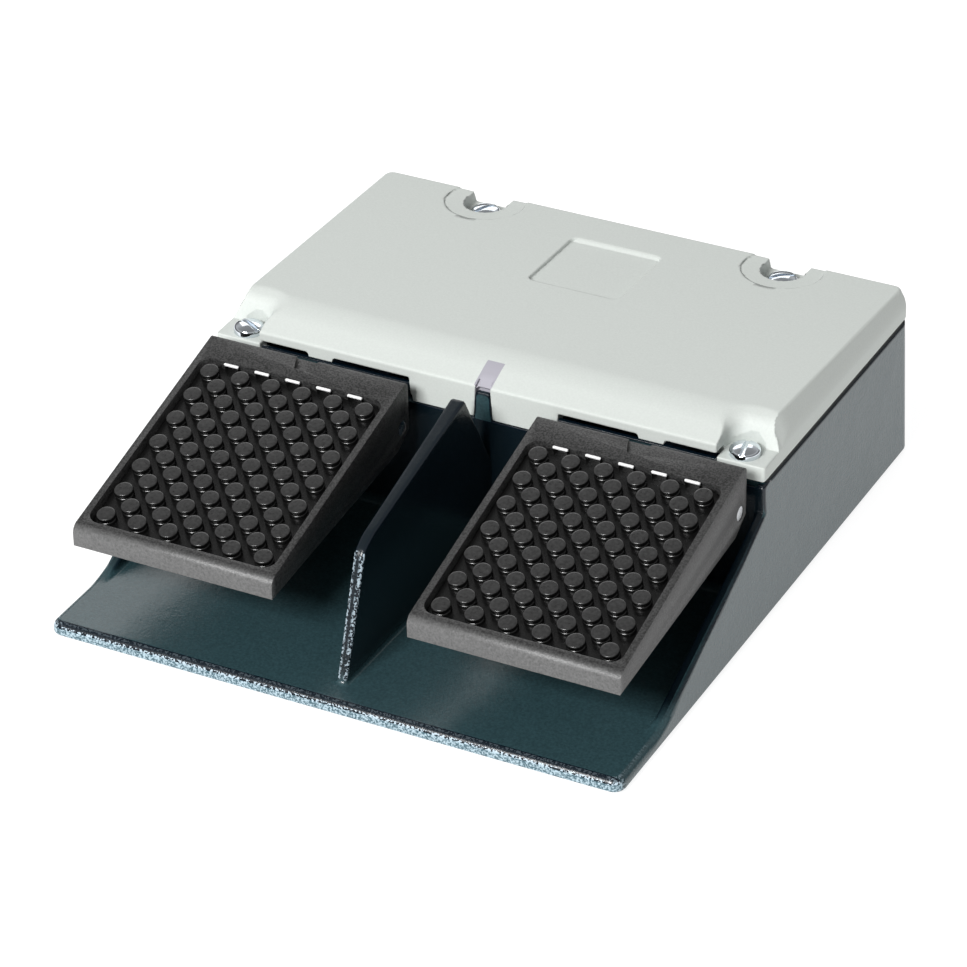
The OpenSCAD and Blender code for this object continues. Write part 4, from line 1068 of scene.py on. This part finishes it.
def stud_mat(name, sign):
    """A mat: a thin sheet with rows of grooved studs, six and five in turn, half a pitch apart, and
    low tongues between the last row's studs. An attribute marks the studs' tops, worn and painted
    lighter, and the tongues' crests, which carry a painted highlight."""
    places = np.array([
        (across, FIRST_ROW + row * STUD_PITCH / 2, SHEET_TOP) for row in range(STUD_ROWS)
        for across in (np.arange(6 - row % 2) - (5 - row % 2) / 2) * STUD_PITCH])
    studs, (walls, feet, caps) = turned_studs(places, STUD_PROFILE, STUD_SIDES)
    sheet, sheet_faces = rounded_sheet(*MAT_SHEET, SHEET_PROFILE)
    points = np.vstack([studs, sheet])
    faces = walls.tolist() + feet.tolist() + caps.tolist()
    faces += [[corner + len(studs) for corner in face] for face in sheet_faces]
    for across in (np.arange(TONGUES) - (TONGUES - 1) / 2) * STUD_PITCH:
        tongue, tongue_faces = rounded_sheet(*TONGUE, TONGUE_PROFILE)
        faces += [[corner + len(points) for corner in face] for face in tongue_faces]
        points = np.vstack([points, tongue + (across, 0, 0)])
    mesh = bpy.data.meshes.new(name)
    mesh.from_pydata(pedal_place(points, sign).tolist(), [], faces)
    shade_smooth(mesh)
    mesh.set_sharp_from_angle(angle=math.radians(40))
    # Marks the studs' tops, worn and painted lighter than the shaded sheet between them.
    top = np.clip((points[:, 2] - SHEET_TOP - LIT_WORN_FROM) / LIT_WORN_OVER, 0, 1)
    on_tongue = np.arange(len(points)) >= len(studs) + len(sheet)
    # The tongues' crests get the mark of the painted highlight.
    top[on_tongue & (points[:, 2] > GLINT_ABOVE)] = GLINT_MARK
    worn = mesh.attributes.new("worn_top", "FLOAT", "POINT")
    worn.data.foreach_set("value", top.astype(np.float32))
    return add_object(name, mesh)


def stand_in(piece, node):
    """The piece takes the node's finish, body and place."""
    piece.data.materials.append(finish_of(slot_of(node)))
    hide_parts(node)
    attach(piece, body_of(node))


class FOOTSWITCH_OT_base(bpy.types.Operator):
    """Builds the base casting with rounded edges"""
    bl_idname = "footswitch.base"
    bl_label = "Base casting"

    def execute(self, context):
        for name, field, lines in (
                ("base_casting", base_field, base_lines()),
                ("divider_rib", rib_field, rib_lines()),
                ("hinge_lugs", lug_field, lug_lines())):
            stand_in(skin_piece(name, field, lines), "base_housing")
        for node in ("rubber_feet", "cover_gasket"):
            dress_node(node)
        return {"FINISHED"}


class FOOTSWITCH_OT_cover(bpy.types.Operator):
    """Builds the screwed cover"""
    bl_idname = "footswitch.cover"
    bl_label = "Cover"

    def execute(self, context):
        cover = skin_piece("cover_casting", cover_field, cover_lines())
        stand_in(cover, "cover")
        return {"FINISHED"}


class FOOTSWITCH_OT_cover_screws(bpy.types.Operator):
    """Builds the four slotted cover screws"""
    bl_idname = "footswitch.cover_screws"
    bl_label = "Cover screws"

    def execute(self, context):
        for row in ("front", "rear"):
            screws = skin_piece(f"{row}_slotted_screws", screw_field(row), screw_lines(row))
            stand_in(screws, f"{row}_cover_screws")
        return {"FINISHED"}


class FOOTSWITCH_OT_pedals(bpy.types.Operator):
    """Builds the two pedals"""
    bl_idname = "footswitch.pedals"
    bl_label = "Pedals"

    def execute(self, context):
        sizes = context.scene.foot_switch_sizes
        for side, _ in SIDES:
            pedal = clean_copy(f"pedal_{side}", f"{side}_pedal_moulding")
            round_edges(pedal, sizes.pedal_edge)
            stand_in(pedal, f"pedal_{side}")
        return {"FINISHED"}


class FOOTSWITCH_OT_stud_mats(bpy.types.Operator):
    """Builds the two studded rubber mats"""
    bl_idname = "footswitch.stud_mats"
    bl_label = "Stud mats"

    def execute(self, context):
        for side, sign in SIDES:
            stand_in(stud_mat(f"{side}_stud_mat", sign), f"stud_mat_{side}")
        return {"FINISHED"}


# The nodes that a piece stands for, or that the base's operator dresses, start with these.
REPLACED = ("base_housing", "cover", "front_cover", "rear_cover", "pedal", "stud_mat")


class FOOTSWITCH_OT_mechanism(bpy.types.Operator):
    """Finishes the hinges, springs, plungers, switches and cable gland"""
    bl_idname = "footswitch.mechanism"
    bl_label = "Mechanism"

    def execute(self, context):
        for part in frame["record"]["subparts"]:
            node = part["node"]
            if not node.startswith(REPLACED):
                dress_node(node)
        return {"FINISHED"}


# The studio's brightness from the horizon to straight up, as (height, value) pairs.
SKY = ((0.0, 0.08), (0.3, 0.18), (0.47, 0.5), (0.6, 0.5), (0.75, 0.32), (1.0, 0.24))
# The camera's azimuth, elevation and roll in degrees.
CAMERA_TURNS = (27.845, 31.834, 1.154)
CAMERA_PLACE = (0.66807, -1.28357, 0.91700)
CAMERA_LENS = 162.256
CAMERA_FILM = 36
CAMERA_REACH = (0.05, 50)
FLOOR_HALF = 6.0
FLOOR_GLOW = 0.88


def camera_axes():
    """The camera's right, up and backward directions."""
    azimuth, elevation, roll = map(math.radians, CAMERA_TURNS)
    reach = math.cos(elevation)
    back = Vector((math.sin(azimuth) * reach, -math.cos(azimuth) * reach, math.sin(elevation)))
    level = (-back).cross(Vector((0, 0, 1))).normalized()
    down = (-back).cross(level)
    right = level * math.cos(roll) + down * math.sin(roll)
    up = level * math.sin(roll) - down * math.cos(roll)
    return right, up, back


def soft_light(name, place, aim, width, height, power):
    """A rectangular studio light at place, turned towards aim."""
    lamp = bpy.data.lights.new(name, "AREA")
    lamp.shape = "RECTANGLE"
    lamp.size = width
    lamp.size_y = height
    lamp.energy = power
    light = add_object(name, lamp)
    light.rotation_euler = (Vector(aim) - Vector(place)).to_track_quat("-Z", "Y").to_euler()
    light.location = place


class FOOTSWITCH_OT_stage(bpy.types.Operator):
    """Sets the pale floor, the soft lights and the camera"""
    bl_idname = "footswitch.stage"
    bl_label = "Stage"

    def execute(self, context):
        scene = context.scene
        corners = [(x * FLOOR_HALF, y * FLOOR_HALF, 0) for x, y in ((-1, -1), (1, -1), (1, 1), (-1, 1))]
        mesh = bpy.data.meshes.new("studio_floor")
        mesh.from_pydata(corners, [], [(0, 1, 2, 3)])
        floor = add_object("studio_floor", mesh)
        paper, *_ = start_finish(
            "pale_floor_paper", chosen_colour("floor"), 0.9,
            Emission_Color=(1, 1, 1, 1), Emission_Strength=FLOOR_GLOW)
        mesh.materials.append(paper)

        world = bpy.data.worlds.new("studio")
        world.use_nodes = True
        sky = world.node_tree
        ways = add_node(sky, "ShaderNodeTexCoord")
        height = add_node(sky, "ShaderNodeSeparateXYZ", links={"Vector": (ways, "Generated")})
        ramp = add_node(sky, "ShaderNodeValToRGB", links={"Fac": (height, "Z")})
        for _ in range(len(SKY) - 2):
            ramp.color_ramp.elements.new(0.5)
        for element, (place, value) in zip(ramp.color_ramp.elements, SKY):
            element.position = place
            element.color = (value, value, value, 1)
        sky.links.new(ramp.outputs["Color"], sky.nodes["Background"].inputs["Color"])
        scene.world = world
        soft_light("key_light", (-0.25, -1.975, 1.5), (0, 0, 0.03), 1.0, 0.6, 70)
        soft_light("back_light", (-0.87, 1.65, 1.2), (0, 0, 0.05), 1.5, 1.2, 8)
        scene.view_settings.view_transform = "Standard"

        camera = bpy.data.cameras.new("camera")
        camera.lens = CAMERA_LENS
        camera.sensor_width = CAMERA_FILM
        camera.clip_start, camera.clip_end = CAMERA_REACH
        view = add_object("camera", camera)
        right, up, back = camera_axes()
        turned = Matrix((right, up, back)).transposed().to_4x4()
        view.matrix_world = Matrix.Translation(CAMERA_PLACE) @ turned
        scene.camera = view
        return {"FINISHED"}


OPERATORS = (
    FOOTSWITCH_OT_base,
    FOOTSWITCH_OT_cover,
    FOOTSWITCH_OT_cover_screws,
    FOOTSWITCH_OT_pedals,
    FOOTSWITCH_OT_stud_mats,
    FOOTSWITCH_OT_mechanism,
    FOOTSWITCH_OT_stage,
)


class FOOTSWITCH_PT_panel(bpy.types.Panel):
    """Lists the operators and the values that they use"""
    bl_idname = "FOOTSWITCH_PT_panel"
    bl_label = "Foot Switch"
    bl_space_type = "VIEW_3D"
    bl_region_type = "UI"
    bl_category = "Foot Switch"

    def draw(self, context):
        for group in (context.scene.foot_switch_sizes, context.scene.foot_switch_colours):
            box = self.layout.box()
            for name in group.__annotations__:
                box.prop(group, name)
        for operator in OPERATORS:
            self.layout.operator(operator.bl_idname)


def register():
    """Registers the properties, operators and panel."""
    for group in (FootSwitchSizes, FootSwitchColours, *OPERATORS, FOOTSWITCH_PT_panel):
        bpy.utils.register_class(group)
    bpy.types.Scene.foot_switch_sizes = bpy.props.PointerProperty(type=FootSwitchSizes)
    bpy.types.Scene.foot_switch_colours = bpy.props.PointerProperty(type=FootSwitchColours)


def unregister():
    """Removes the properties, operators and panel."""
    del bpy.types.Scene.foot_switch_colours
    del bpy.types.Scene.foot_switch_sizes
    for group in (FOOTSWITCH_PT_panel, *reversed(OPERATORS), FootSwitchColours, FootSwitchSizes):
        bpy.utils.unregister_class(group)


def main():
    """Builds every piece and the stage."""
    register()
    bpy.ops.footswitch.base()
    bpy.ops.footswitch.cover()
    bpy.ops.footswitch.cover_screws()
    bpy.ops.footswitch.pedals()
    bpy.ops.footswitch.stud_mats()
    bpy.ops.footswitch.mechanism()
    bpy.ops.footswitch.stage()


if __name__ == "__main__":
    main()
